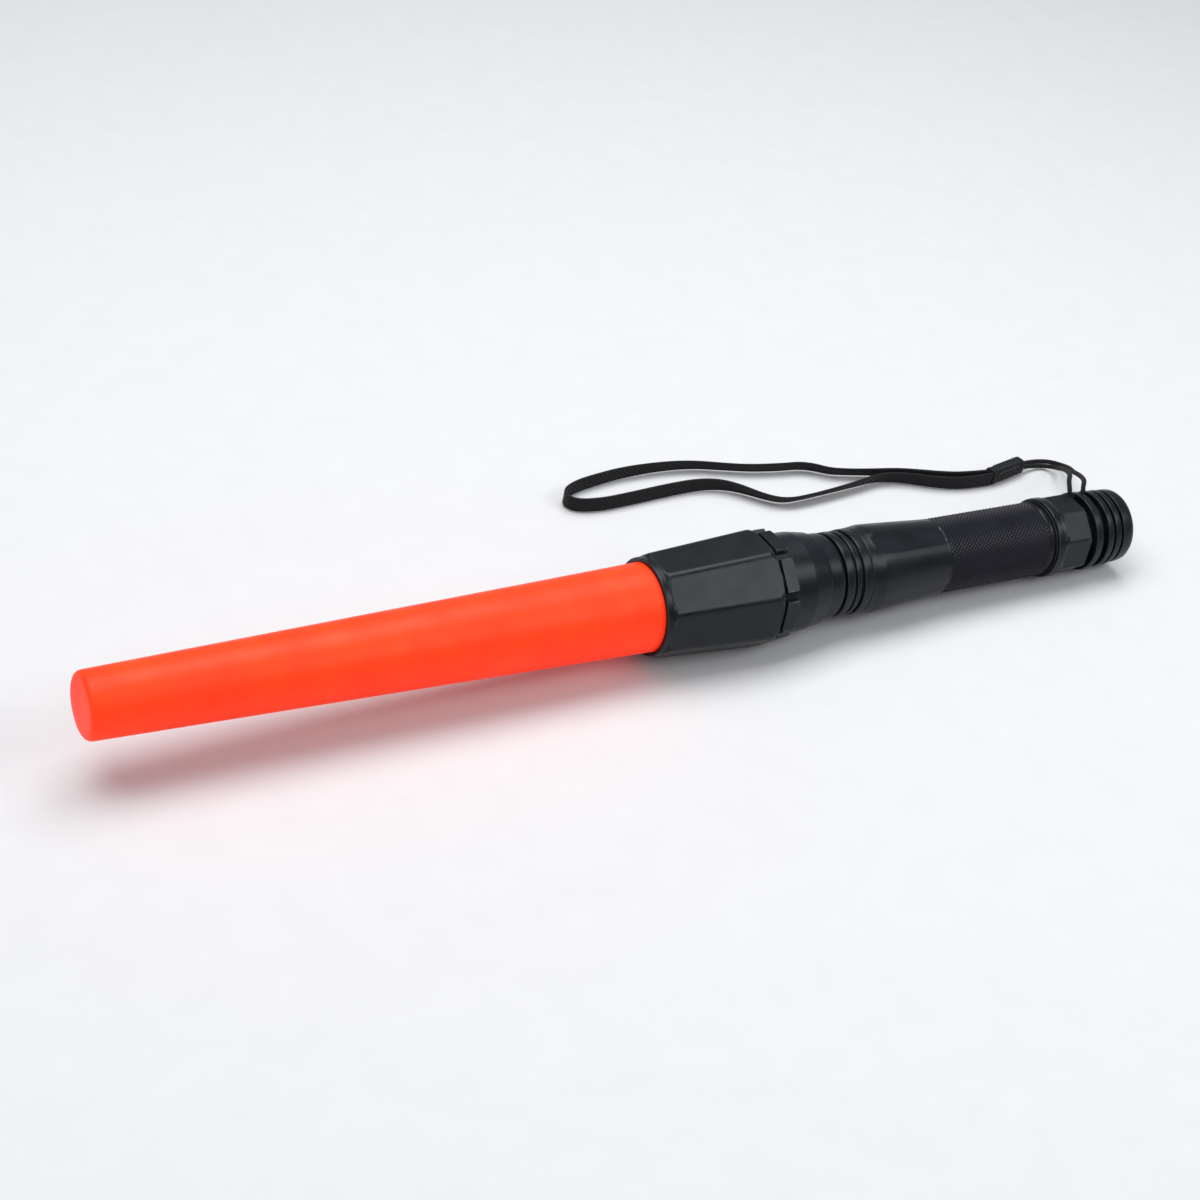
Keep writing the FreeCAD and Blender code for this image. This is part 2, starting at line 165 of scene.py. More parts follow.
# The middle of a noise's range, which a Map Range spreads over the whole of its own.
MIDDLE = {1: 0.3, 2: 0.7}


@dataclass(frozen=True)
class Finish:
    """A surface finish: how one real material is coloured, textured and lit."""

    name: str
    colour: str
    second: str
    metallic: float = 0.0
    roughness: float = 0.4
    ior: float = 1.5
    shine: float = 0.5
    grain_mm: float = 0.6
    grain_detail: float = 3.0
    depth_mm: float = 0.01
    sheen: float = 0.0
    sheen_roughness: float = 0.5
    coat: float = 0.0
    coat_roughness: float = 0.12

    def values(self) -> dict[str, Any]:
        """What is even over the surface, by the names of the shader's own sockets."""
        return {
            "Base Color": linear(self.colour), "Metallic": self.metallic, "Roughness": self.roughness,
            "IOR": self.ior, "Specular IOR Level": self.shine, "Sheen Weight": self.sheen,
            "Sheen Roughness": self.sheen_roughness, "Coat Weight": self.coat,
            "Coat Roughness": self.coat_roughness,
        }

    def build(self) -> bpy.types.Material:
        """The finish as a material, made once and then shared."""
        made = bpy.data.materials.get(self.name)
        if made is not None:
            return made
        material = bpy.data.materials.new(self.name)
        material.use_nodes = True
        tree = material.node_tree
        shader = tree.nodes["Principled BSDF"]
        for socket, value in self.values().items():
            shader.inputs[socket].default_value = value
        where = add_node(tree, "ShaderNodeTexCoord").outputs["Object"]
        self.dress(tree, shader, where)
        return material

    def dress(self, tree: Tree, shader: bpy.types.Node, where: Socket) -> None:
        """Adds the finish's own pattern.

        Args:
            tree: The material's tree.
            shader: Its Principled BSDF.
            where: The Object coordinates, in metres in the row frame.
        """
        fine = noise_of(where, self.grain_mm, self.grain_detail)
        height = add_node(tree, "ShaderNodeTexNoise", None, fine).outputs["Fac"]
        self.connect(tree, shader, height, *self.mottle(tree, where))

    def mottle(self, tree: Tree, where: Socket) -> tuple[Socket, Socket]:
        """A colour and a roughness that vary softly over the surface."""
        cloud_mm, swing = 14.0, 0.12
        cloud = add_node(tree, "ShaderNodeTexNoise", None, noise_of(where, cloud_mm)).outputs["Fac"]
        share, rough = (
            add_node(tree, "ShaderNodeMapRange", None, {0: cloud, **MIDDLE, 3: low, 4: high}).outputs[0]
            for low, high in ((0.0, 1.0), (self.roughness * (1 - swing), self.roughness * (1 + swing))))
        dyes_and_weave_shade = {0: share, 6: linear(self.colour), 7: linear(self.second)}
        return add_node(tree, "ShaderNodeMix", {"data_type": "RGBA"}, dyes_and_weave_shade).outputs[2], rough

    def connect(
        self, tree: Tree, shader: bpy.types.Node, height: Socket,
        colour: Socket | None = None, rough: Socket | None = None,
    ) -> None:
        """Links a pattern to the shader.

        Args:
            tree: The material's tree.
            shader: Its Principled BSDF.
            height: How far the surface stands up, from 0 to 1 times the finish's depth.
            colour: The colour, where it varies.
            rough: The roughness, where it varies.
        """
        size = {"Strength": 1.0, "Distance": self.depth_mm * MM, "Height": height}
        relief = add_node(tree, "ShaderNodeBump", None, size).outputs["Normal"]
        for socket, value in (("Base Color", colour), ("Roughness", rough), ("Normal", relief)):
            if value is not None:
                tree.links.new(value, shader.inputs[socket])


@dataclass(frozen=True)
class MouldedPlastic(Finish):
    """Injection-moulded plastic: an even colour, soft gloss and very shallow mould texture."""

    through: float = 0.0
    through_mm: float = 4.0
    glow: str = "#FF2A10"
    # Strength of a painted glow, which lights the plastic's shaded side whatever light falls on it.
    painted_glow: float = 0.0

    def values(self) -> dict[str, Any]:
        """Adds the light that goes through a translucent plastic, and a painted glow on its shaded side."""
        glow = linear(self.glow)
        return super().values() | {
            "Subsurface Weight": self.through, "Subsurface Radius": glow[:3],
            "Subsurface Scale": self.through_mm * MM, "Emission Color": glow,
            "Emission Strength": self.painted_glow,
        }


@dataclass(frozen=True)
class AnodisedAluminium(Finish):
    """Bead-blasted and dyed aluminium: a hard dark oxide that is burnished on its edges."""

    burnished: str = "#565C63"

    def dress(self, tree: Tree, shader: bpy.types.Node, where: Socket) -> None:
        """Adds the blasted grain, handling marks and burnished edges."""
        cloud, patch, grain = (
            add_node(tree, "ShaderNodeTexNoise", None, noise_of(where, *shape)).outputs["Fac"]
            for shape in ((9.0, 5.0), (2.2, 3.0), (self.grain_mm, 2.0)))
        share, patchy, rough = (
            add_node(tree, "ShaderNodeMapRange", None, {0: source, **MIDDLE, 3: low, 4: high}).outputs[0]
            for source, low, high in ((cloud, 0.0, 1.0), (patch, 0.15, 0.9),
                                      (cloud, self.roughness - 0.04, self.roughness + 0.05)))
        worn = add_node(tree, "ShaderNodeAttribute", {"attribute_name": WEAR}).outputs["Fac"]
        times = {"operation": "MULTIPLY"}
        spots = add_node(tree, "ShaderNodeMath", times, {0: worn, 1: patchy}).outputs[0]
        rub = add_node(tree, "ShaderNodeMath", times | {"use_clamp": True}, {0: spots, 1: 0.8})
        colours = {"data_type": "RGBA"}
        dyes_and_weave_shade = {0: share, 6: linear(self.colour), 7: linear(self.second)}
        dye = add_node(tree, "ShaderNodeMix", colours, dyes_and_weave_shade).outputs[2]
        edges = {0: rub.outputs[0], 6: dye, 7: linear(self.burnished)}
        colour = add_node(tree, "ShaderNodeMix", colours, edges).outputs[2]
        self.connect(tree, shader, grain, colour, rough)


@dataclass(frozen=True)
class TurnedMetal(Finish):
    """Metal turned on a lathe: fine rings about the torch's axis.

    A real tool leaves rings 0.1 mm apart. They are drawn wider, so that they show.
    """

    ring_mm: float = 0.5

    def dress(self, tree: Tree, shader: bpy.types.Node, where: Socket) -> None:
        """Adds the tool's rings along the axis."""
        turn = {"Vector": where, "Rotation": (0.0, -AXIS.tilt(), 0.0)}
        level = add_node(tree, "ShaderNodeMapping", {"vector_type": "POINT"}, turn)
        bands = {"Vector": level.outputs[0], "Scale": wave_scale(self.ring_mm * MM),
                 "Distortion": 1.5, "Detail": 2.0, "Detail Scale": 3.0}
        lathe = {"wave_type": "BANDS", "bands_direction": "X"}
        rings = add_node(tree, "ShaderNodeTexWave", lathe, bands)
        self.connect(tree, shader, rings.outputs["Fac"], *self.mottle(tree, where))


@dataclass(frozen=True)
class Rubber(Finish):
    """Moulded silicone rubber: matt, with fine pores and the faint sheen of a dusty skin."""

    grain_detail: float = 5.0
    sheen: float = 0.08


@dataclass(frozen=True)
class ClearPlastic(Finish):
    """Clear acrylic: transparent, polished, with the faintest moulding ripple."""

    def values(self) -> dict[str, Any]:
        """Adds the transparency."""
        return super().values() | {"Transmission Weight": 1.0}

    def dress(self, tree: Tree, shader: bpy.types.Node, where: Socket) -> None:
        """Ripples the surface."""
        ripple = add_node(tree, "ShaderNodeTexNoise", None, noise_of(where, self.grain_mm, 1.0))
        self.connect(tree, shader, ripple.outputs["Fac"])


@dataclass(frozen=True)
class CircuitBoard(Finish):
    """Glass-epoxy board under solder mask: copper tracks show as a raised, lighter grid."""

    pitch_mm: float = 1.6
    coat: float = 0.5
    coat_roughness: float = 0.15

    def dress(self, tree: Tree, shader: bpy.types.Node, where: Socket) -> None:
        """Adds the tracks."""
        cells = {"Vector": where, "Scale": per_metre(self.pitch_mm), "Randomness": 0.35}
        grid = {"feature": "DISTANCE_TO_EDGE", "distance": "EUCLIDEAN"}
        edge = add_node(tree, "ShaderNodeTexVoronoi", grid, cells).outputs["Distance"]
        ends = {0: edge, 1: 0.10, 2: 0.16, 3: 1.0, 4: 0.0}
        track = add_node(tree, "ShaderNodeMapRange", None, ends).outputs[0]
        masks = {0: track, 6: linear(self.colour), 7: linear(self.second)}
        colour = add_node(tree, "ShaderNodeMix", {"data_type": "RGBA"}, masks).outputs[2]
        self.connect(tree, shader, track, colour)


@dataclass(frozen=True)
class DrawnWire(Finish):
    """Spring or lead wire drawn through a die: fine streaks and small dull patches."""

    def dress(self, tree: Tree, shader: bpy.types.Node, where: Socket) -> None:
        """Adds the die's streaks."""
        squeeze = {"Vector": where, "Scale": (0.2, 1.0, 1.0)}
        streaks = add_node(tree, "ShaderNodeMapping", None, squeeze).outputs[0]
        drawn = add_node(tree, "ShaderNodeTexNoise", None, noise_of(streaks, self.grain_mm))
        self.connect(tree, shader, drawn.outputs["Fac"], *self.mottle(tree, where))


@dataclass(frozen=True)
class Woven(Finish):
    """Woven nylon tape: plain weave, one yarn over one yarn, with a slight sheen.

    The pattern follows the tape's own map, which is in millimetres. The yarns are 0.9 mm apart,
    where real ones are nearer 0.5 mm, so that they show.
    """

    yarn_mm: float = 0.9
    sheen: float = 0.05
    sheen_roughness: float = 0.4

    def dress(self, tree: Tree, shader: bpy.types.Node, where: Socket) -> None:
        """Adds the warp and the weft, with painted shade in the gaps between yarns and a painted highlight
        on their crests.
        """
        flat = add_node(tree, "ShaderNodeUVMap", {"uv_map": WEAVE_UV}).outputs["UV"]
        over = add_node(tree, "ShaderNodeTexChecker", None,
                        {"Vector": flat, "Scale": 1 / self.yarn_mm}).outputs["Fac"]
        yarns = []
        for direction in ("X", "Y"):
            bands = {"Vector": flat, "Scale": wave_scale(self.yarn_mm), "Phase Offset": 0.0}
            wave = {"wave_type": "BANDS", "bands_direction": direction}
            yarns.append(add_node(tree, "ShaderNodeTexWave", wave, bands).outputs["Fac"])
        ends = {0: over, 2: yarns[0], 3: yarns[1]}
        height = add_node(tree, "ShaderNodeMix", {"data_type": "FLOAT"}, ends).outputs[0]
        fuzz = add_node(tree, "ShaderNodeTexNoise", None, noise_of(where, self.grain_mm, 4.0))
        both = add_node(tree, "ShaderNodeMath", {"operation": "MULTIPLY_ADD"},
                        {0: fuzz.outputs["Fac"], 1: 0.35, 2: height}).outputs[0]
        # Painted shade and highlight: each yarn is lighter along its crest and darker towards the gaps.
        dyes_and_weave_shade = {0: height, 6: linear(self.colour), 7: linear(self.second)}
        colour = add_node(tree, "ShaderNodeMix", {"data_type": "RGBA"}, dyes_and_weave_shade).outputs[2]
        self.connect(tree, shader, both, colour)


@dataclass(frozen=True)
class TwistedYarn(Finish):
    """Textured nylon yarn: soft fibres that catch a little light along the strand."""

    grain_detail: float = 5.0
    sheen: float = 0.05
    sheen_roughness: float = 0.45


@dataclass(frozen=True)
class PaleFloor(Finish):
    """Matt painted board: nearly white, with a barely visible roller texture."""


# Orange-red polyethylene, moulded thin enough for the torch to light it from inside. Its dye is
# daylight-fluorescent; a painted glow keeps the side turned from the light a vivid red. Its gloss is soft.
CONE_PLASTIC = MouldedPlastic("moulded_orange_polyethylene", "#DC4210", "#CE380E",
                              roughness=0.46, shine=0.2, grain_mm=2.6, depth_mm=0.012,
                              through=0.12, glow="#FF1604", painted_glow=0.45)
# Black anodised aluminium, blasted before dyeing: a soft grey-blue sheen on each flat.
BLACK_ANODISE = AnodisedAluminium("black_anodised_aluminium", "#090C10", "#0F141A",
                                  roughness=0.3, shine=0.22, grain_mm=0.45, depth_mm=0.012)
# The same alloy and dye on the knurl, whose points are rubbed duller.
KNURL_ANODISE = AnodisedAluminium("black_anodised_knurl", "#0A0B14", "#10121F",
                                  roughness=0.44, shine=0.22, grain_mm=0.4, depth_mm=0.008,
                                  burnished="#3F4454")
# Brass bar turned on a lathe: warm yellow, with fine rings in its highlights.
BRASS = TurnedMetal("turned_brass", "#C89B4A", "#B98A3C", metallic=1.0, roughness=0.28,
                    depth_mm=0.008)
# Aluminium left as turned, not anodised: pale and bright, with fine rings.
BARE_ALUMINIUM = TurnedMetal("turned_aluminium", "#B9BCBE", "#A9ADB0", metallic=1.0,
                             roughness=0.3, depth_mm=0.006)
# Deep-drawn steel under nickel plate: cool, bright and nearly smooth.
NICKEL_STEEL = TurnedMetal("nickel_plated_steel", "#B5B4AE", "#A4A39D", metallic=1.0,
                           roughness=0.22, ring_mm=1.4, depth_mm=0.003)
# The cell's wound electrodes seen on edge: dull copper and grey in close rings.
WOUND_FOIL = TurnedMetal("wound_electrode_foil", "#8A6A4C", "#5E5B58", metallic=0.7,
                         roughness=0.4, ring_mm=0.6, depth_mm=0.02)
# Moulded and polished acrylic: clear, with sharp highlights.
CLEAR_ACRYLIC = ClearPlastic("clear_acrylic", "#F4F8FA", "#F4F8FA", roughness=0.04, ior=1.49,
                             grain_mm=6.0, depth_mm=0.002)
# Moulded silicone rubber: a soft, matt black.
BLACK_SILICONE = Rubber("black_silicone_rubber", "#121315", "#1B1C1F", roughness=0.62,
                        ior=1.42, grain_mm=0.35, depth_mm=0.012)
# Glass-epoxy under green solder mask: glossy, with its tracks a lighter green.
GREEN_BOARD = CircuitBoard("green_solder_mask", "#0F4A2B", "#1B6A3E", roughness=0.35,
                           depth_mm=0.03)
# Aluminium-core board under white solder mask: glossy white with pale grey tracks.
WHITE_BOARD = CircuitBoard("white_solder_mask", "#E9EBE8", "#D6D9D5", roughness=0.4,
                           depth_mm=0.03, pitch_mm=2.4)
# Phosphor cast in clear silicone on the emitter: a glossy yellow window.
PHOSPHOR = MouldedPlastic("yellow_phosphor_silicone", "#F2D33A", "#E8C22A", roughness=0.3,
                          grain_mm=0.5, depth_mm=0.006, coat=1.0)
# Moulded nylon: dull black, standing in as painted shade for the dark gap between barrel and tail cap.
BLACK_NYLON_GAP_SHADE = MouldedPlastic("black_nylon", "#111215", "#17181B", roughness=0.5, shine=0.3,
                             grain_mm=0.8, depth_mm=0.01)
# Moulded ABS: an even satin white.
WHITE_ABS = MouldedPlastic("white_abs", "#ECECE8", "#E2E2DD", roughness=0.38, grain_mm=0.7,
                           depth_mm=0.008)
# Moulded ABS: an even satin black, a little lighter than the anodised parts.
BLACK_ABS = MouldedPlastic("black_abs", "#16171A", "#1D1F22", roughness=0.42, grain_mm=0.5,
                           depth_mm=0.012)
# Extruded PVC over copper wire: smooth satin red.
RED_LEAD = MouldedPlastic("red_pvc_insulation", "#B3201C", "#A31A18", roughness=0.42,
                          grain_mm=0.6, depth_mm=0.008)
# Transfer-moulded epoxy round the driver's parts: dull, grainy black.
BLACK_EPOXY = MouldedPlastic("black_epoxy_moulding", "#191A1C", "#242628", roughness=0.55,
                             grain_mm=0.25, depth_mm=0.015)
# Plastic sleeve shrunk on each cell: glossy blue, faintly rippled.
CELL_SLEEVE = MouldedPlastic("cell_shrink_sleeve", "#2E5A86", "#2A527B", roughness=0.24,
                             grain_mm=5.0, depth_mm=0.03, coat=0.4)
# Pressed fibre paper: matt cream with a coarse grain.
FIBRE_WASHER = MouldedPlastic("white_fibre_paper", "#E4E0D2", "#D8D2C0", roughness=0.75,
                              grain_mm=0.3, depth_mm=0.02)
# Drawn spring wire, gilt against rust: warm metal with fine streaks.
SPRING_STEEL = DrawnWire("gilt_spring_wire", "#B99A5A", "#A98B4F", metallic=1.0,
                         roughness=0.3, grain_mm=0.4, depth_mm=0.01)
# Woven nylon tape: matt black, with a painted highlight on the yarns' crests and painted shade between
# them.
NYLON_TAPE = Woven("black_woven_nylon_tape", "#08090A", "#16181B", roughness=0.7, shine=0.2,
                   grain_mm=0.3, depth_mm=0.14)
# Textured nylon yarn in the braid: soft, deep black.
NYLON_YARN = TwistedYarn("black_nylon_yarn", "#090A0B", "#131517", roughness=0.6, shine=0.2,
                         grain_mm=0.12, depth_mm=0.03)
# Bonded sewing thread: slightly brighter than the tape, so the seams can be seen.
STITCH_YARN = TwistedYarn("black_bonded_thread", "#1C1E21", "#2B2E32", roughness=0.45,
                          grain_mm=0.15, depth_mm=0.02)
# Painted board with a roller's texture: matt and nearly white.
FLOOR_PAINT = PaleFloor("matt_pale_board", "#CBCCCE", "#C9CACC", roughness=0.9, shine=0.1,
                        grain_mm=3.0, depth_mm=0.02)


# ---- meshes --------------------------------------------------------------------------------------

def rounded_outline(corners: Corners, step: float, closed: bool) -> np.ndarray:
    """An outline in (x, r) with its corners rounded and its long runs divided.

    Args:
        corners: (x, r) or (x, r, corner radius) in millimetres. A corner without a radius gets
            the small broken edge that a lathe tool leaves.
        step: The longest run left undivided.
        closed: Whether the outline returns to its first corner.

    Returns:
        The outline's points, one row each.
    """
    broken_edge, arc_steps, longest_share = 0.12, 4, 0.42
    points = [np.array(corner[:2], float) for corner in corners]
    count = len(points)
    outline: list[np.ndarray] = []
    for i, corner in enumerate(corners):
        here = points[i]
        if not closed and i in (0, count - 1):
            outline.append(here)
            continue
        back, ahead = points[i - 1] - here, points[(i + 1) % count] - here
        runs = np.linalg.norm(back), np.linalg.norm(ahead)
        back, ahead = back / runs[0], ahead / runs[1]
        half = math.acos(max(-1.0, min(1.0, float(back @ ahead)))) / 2
        radius = corner[2] if len(corner) > 2 else broken_edge
        reach = min(radius / math.tan(half), longest_share * min(runs)) if half < 1.55 else 0.0
        if reach < 1e-4:
            outline.append(here)
            continue
        for t in np.linspace(0, 1, arc_steps + 1):
            outline.append((1 - t) ** 2 * (here + back * reach) + 2 * t * (1 - t) * here
                           + t * t * (here + ahead * reach))
    ring = outline + outline[:1] if closed else outline
    divided = [ring[0]]
    for start, end in zip(ring, ring[1:]):
        pieces = max(1, math.ceil(float(np.linalg.norm(end - start)) / step))
        divided += [start + (end - start) * k / pieces for k in range(1, pieces + 1)]
    return np.array(divided[:-1] if closed else divided)


def put_in_scene(name: str, data: bpy.types.ID) -> Piece:
    """A new object at the origin with this data, linked to the scene."""
    piece = bpy.data.objects.new(name, data)
    bpy.context.scene.collection.objects.link(piece)
    return piece


def ring_faces(rings: int, around: int, looped: bool = False) -> list[list[int]]:
    """The faces between rings of points.

    Args:
        rings: How many rings there are.
        around: The points in each ring.
        looped: Whether the last ring joins the first one again.

    Returns:
        The faces, as point numbers.
    """
    faces = []
    for i in range(rings if looped else rings - 1):
        here, below = i * around, (i + 1) % rings * around
        for j in range(around):
            k = (j + 1) % around
            faces.append([here + j, here + k, below + k, below + j])
    return faces


def end_caps(rings: int, around: int) -> list[list[int]]:
    """The two faces that close the ends of a tube of rings."""
    last = (rings - 1) * around
    return [list(range(around)), list(range(last, last + around))[::-1]]


def squared(turn: np.ndarray, power: float) -> tuple[np.ndarray, np.ndarray]:
    """A cosine and a sine that bulge towards a square's corners as the power falls below 1."""
    return tuple(np.sign(wave) * np.abs(wave) ** power for wave in (np.cos(turn), np.sin(turn)))


def mesh_piece(name: str, points: np.ndarray, faces: list[list[int]], smooth_deg: float) -> Piece:
    """A mesh object at the origin, cleaned, facing outwards and shaded by angle.

    Args:
        name: The piece's name.
        points: Its points in metres in the row frame.
        faces: Its faces, as point numbers.
        smooth_deg: Edges sharper than this stay sharp.

    Returns:
        The object, linked to the scene.
    """
    mesh = bpy.data.meshes.new(name)
    mesh.from_pydata(points.tolist(), [], faces)
    work = bmesh.new()
    work.from_mesh(mesh)
    bmesh.ops.remove_doubles(work, verts=work.verts, dist=0.002 * MM)
    bmesh.ops.recalc_face_normals(work, faces=work.faces)
    for edge in work.edges:
        if len(edge.link_faces) == 2:
            edge.smooth = edge.calc_face_angle(0.0) < math.radians(smooth_deg)
    for face in work.faces:
        face.smooth = True
    work.to_mesh(mesh)
    work.free()
    return put_in_scene(name, mesh)


def joined(parts: list[Piece], name: str) -> Piece:
    """Several meshes as one piece."""
    work = bmesh.new()
    for part in parts:
        work.from_mesh(part.data)
    mesh = bpy.data.meshes.new(name)
    work.to_mesh(mesh)
    work.free()
    mesh.materials.append(parts[0].data.materials[0])
    for part in parts:
        bpy.data.objects.remove(part)
    for face in mesh.polygons:
        face.use_smooth = True
    mesh.name = name
    return put_in_scene(name, mesh)


def turned_piece(
    name: str,
    corners: Corners,
    steps: int = 192,
    step_mm: float = 1.5,
    closed: bool = True,
    trim: Trim | None = None,
    smooth_deg: float = 35.0,
) -> Piece:
    """A piece turned about the torch's axis, trimmed by what is milled into it.

    Args:
        name: The piece's name.
        corners: Its outline, as rounded_outline takes it.
        steps: Steps round the axis.
        step_mm: The longest run along the outline.
        closed: False for an outline that starts and ends on the axis.
        trim: Gives the radius after milling from the station, the radius and the angle, which
            starts at the torch's up side and grows towards +Y.
        smooth_deg: Edges sharper than this stay sharp.

    Returns:
        The object.
    """
    outline = rounded_outline(corners, step_mm, closed)
    angle = np.arange(steps) * math.tau / steps
    x = np.repeat(outline[:, :1], steps, axis=1)
    r = np.repeat(outline[:, 1:], steps, axis=1)
    if trim is not None:
        r = trim(x, r, np.broadcast_to(angle, r.shape))
    local = np.stack([x, r * np.sin(angle), r * np.cos(angle)], axis=-1).reshape(-1, 3) * MM
    turn = np.array(AXIS.matrix.to_3x3())
    points = local @ turn.T + np.array(AXIS.matrix.translation)
    return mesh_piece(name, points, ring_faces(len(outline), steps, closed), smooth_deg)


def soft_min(a: np.ndarray, b: np.ndarray, width: float = 0.12) -> np.ndarray:
    """The smaller of two radii, with the edge between them broken by a small width."""
    share = np.clip(0.5 + 0.5 * (b - a) / width, 0.0, 1.0)
    return b + (a - b) * share - width * share * (1 - share) * (share > 0) * (share < 1)


def from_nearest(angle: np.ndarray, count: int, first_deg: float = 0.0) -> np.ndarray:
    """The angle from the nearest of several directions evenly spaced round the axis."""
    pitch = math.tau / count
    return (angle - math.radians(first_deg) + pitch / 2) % pitch - pitch / 2


def mark_edges(piece: Piece) -> None:
    """Stores how far each point stands out among its neighbours, which is where wear starts."""
    mesh = piece.data
    count = len(mesh.vertices)
    points = np.empty(count * 3)
    mesh.vertices.foreach_get("co", points)
    points = points.reshape(-1, 3)
    normals = np.array([v.normal for v in mesh.vertices])
    ends = np.empty(len(mesh.edges) * 2, int)
    mesh.edges.foreach_get("vertices", ends)
    ends = ends.reshape(-1, 2)
    run = points[ends[:, 1]] - points[ends[:, 0]]
    run /= np.maximum(np.linalg.norm(run, axis=1), 1e-9)[:, None]
    lean = np.zeros(count)
    shares = np.zeros(count)
    for near, sign in ((0, -1.0), (1, 1.0)):
        np.add.at(lean, ends[:, near], sign * np.einsum("ij,ij->i", run, normals[ends[:, near]]))
        np.add.at(shares, ends[:, near], 1.0)
    least, gain = 0.06, 6.0
    worn = np.clip((lean / np.maximum(shares, 1) - least) * gain, 0.0, 1.0)
    store = mesh.attributes.new(WEAR, "FLOAT", "POINT")
    store.data.foreach_set("value", worn.astype(np.float32))


def smooth_line(
    name: str, route: Sequence[tuple[float, float, float]],
) -> tuple[bpy.types.Mesh, np.ndarray]:
    """The smooth line that a cord or strap follows.

    Args:
        name: The curve's name.
        route: The spline's control points in metres.

    Returns:
        The line's mesh, and its points.
    """
    curve = bpy.data.curves.new(name, "CURVE")
    curve.dimensions = "3D"
    curve.resolution_u = 24
    spline = curve.splines.new("NURBS")
    spline.points.add(len(route) - 1)
    for point, place in zip(spline.points, route):
        point.co = (*place, 1.0)
    spline.order_u = 3
    spline.use_endpoint_u = True
    holder = bpy.data.objects.new(name, curve)
    mesh = bpy.data.meshes.new_from_object(holder)
    bpy.data.objects.remove(holder)
    return mesh, np.array([v.co for v in mesh.vertices])


def evenly(points: np.ndarray, step: float) -> np.ndarray:
    """Points along a line at an even step in metres, its two ends among them."""
    runs = np.linalg.norm(np.diff(points, axis=0), axis=1)
    along = np.concatenate([[0.0], np.cumsum(runs)])
    stations = np.linspace(0, along[-1], max(2, round(along[-1] / step) + 1))
    return np.stack([np.interp(stations, along, points[:, k]) for k in range(3)], axis=1)


def length_of(points: np.ndarray) -> float:
    """The length of a line in metres."""
    return float(np.linalg.norm(np.diff(points, axis=0), axis=1).sum())


# ---- rules that repeat a shape -------------------------------------------------------------------

class RuleTree:
    """A Geometry Nodes tree with named inputs, run once on a piece and turned into a mesh."""

    def __init__(self, name: str, sizes: dict[str, float | int]) -> None:
        """Starts the tree.

        Args:
            name: The tree's name.
            sizes: The named inputs' values: counts as int, and lengths in metres as float.
        """
        self.tree = bpy.data.node_groups.new(name, "GeometryNodeTree")
        self.values: dict[str, Any] = dict(sizes)
        face = self.tree.interface
        face.new_socket("Geometry", in_out="INPUT", socket_type="NodeSocketGeometry")
        for key, value in sizes.items():
            kind = "NodeSocketInt" if isinstance(value, int) else "NodeSocketFloat"
            face.new_socket(key, in_out="INPUT", socket_type=kind)
        face.new_socket("Material", in_out="INPUT", socket_type="NodeSocketMaterial")
        face.new_socket("Geometry", in_out="OUTPUT", socket_type="NodeSocketGeometry")
        self.given = self.add("NodeGroupInput").outputs

    def add(self, kind: str, settings: dict[str, Any] | None = None,
            inputs: dict[str | int, Any] | None = None) -> bpy.types.Node:
        """Adds one node to the tree."""
        return add_node(self.tree, kind, settings, inputs)

    def calculate(self, operation: str, *values: Any, kind: str = "ShaderNodeMath") -> Socket:
        """The result of an operation on numbers or, with another kind of node, on vectors."""
        return self.add(kind, {"operation": operation}, dict(enumerate(values))).outputs[0]

    def store(self, geometry: Socket, name: str, vector: Socket) -> tuple[Socket, Socket]:
        """Keeps a vector on each point, so that it can be read after the points move.

        Args:
            geometry: The points.
            name: The attribute's name.
            vector: The vector.

        Returns:
            The points that carry the vector, and the stored vector.
        """
        stored = self.add("GeometryNodeStoreNamedAttribute", {
            "data_type": "FLOAT_VECTOR", "domain": "POINT"}, {
            "Geometry": geometry, "Name": name, "Value": vector})
        read = self.add("GeometryNodeInputNamedAttribute", {"data_type": "FLOAT_VECTOR"}, {
            "Name": name})
        return stored.outputs[0], read.outputs[0]

    def run(self, name: str, base: bpy.types.Mesh, shape: Socket, finish: Finish) -> Piece:
        """Ends the tree, runs it and keeps its result as a plain mesh.

        Args:
            name: The new piece's name.
            base: The mesh that the tree starts from.
            shape: The geometry to keep.
            finish: The finish of the result.

        Returns:
            The finished piece, linked to the scene.
        """
        real = self.add("GeometryNodeRealizeInstances", None, {"Geometry": shape})
        dressed = self.add("GeometryNodeSetMaterial", None, {
            "Geometry": real.outputs[0], "Material": self.given["Material"]})
        self.add("NodeGroupOutput", None, {0: dressed.outputs[0]})
        holder = put_in_scene(name + "_rule", base)
        modifier = holder.modifiers.new(self.tree.name, "NODES")
        modifier.node_group = self.tree
        self.values["Material"] = finish.build()
        for item in self.tree.interface.items_tree:
            if item.in_out == "INPUT" and item.name in self.values:
                modifier[item.identifier] = self.values[item.name]
        graph = bpy.context.evaluated_depsgraph_get()
        mesh = bpy.data.meshes.new_from_object(
            holder.evaluated_get(graph), preserve_all_data_layers=True, depsgraph=graph)
        mesh.name = name
        holder.modifiers.remove(modifier)
        bpy.data.objects.remove(holder)
        return put_in_scene(name, mesh)


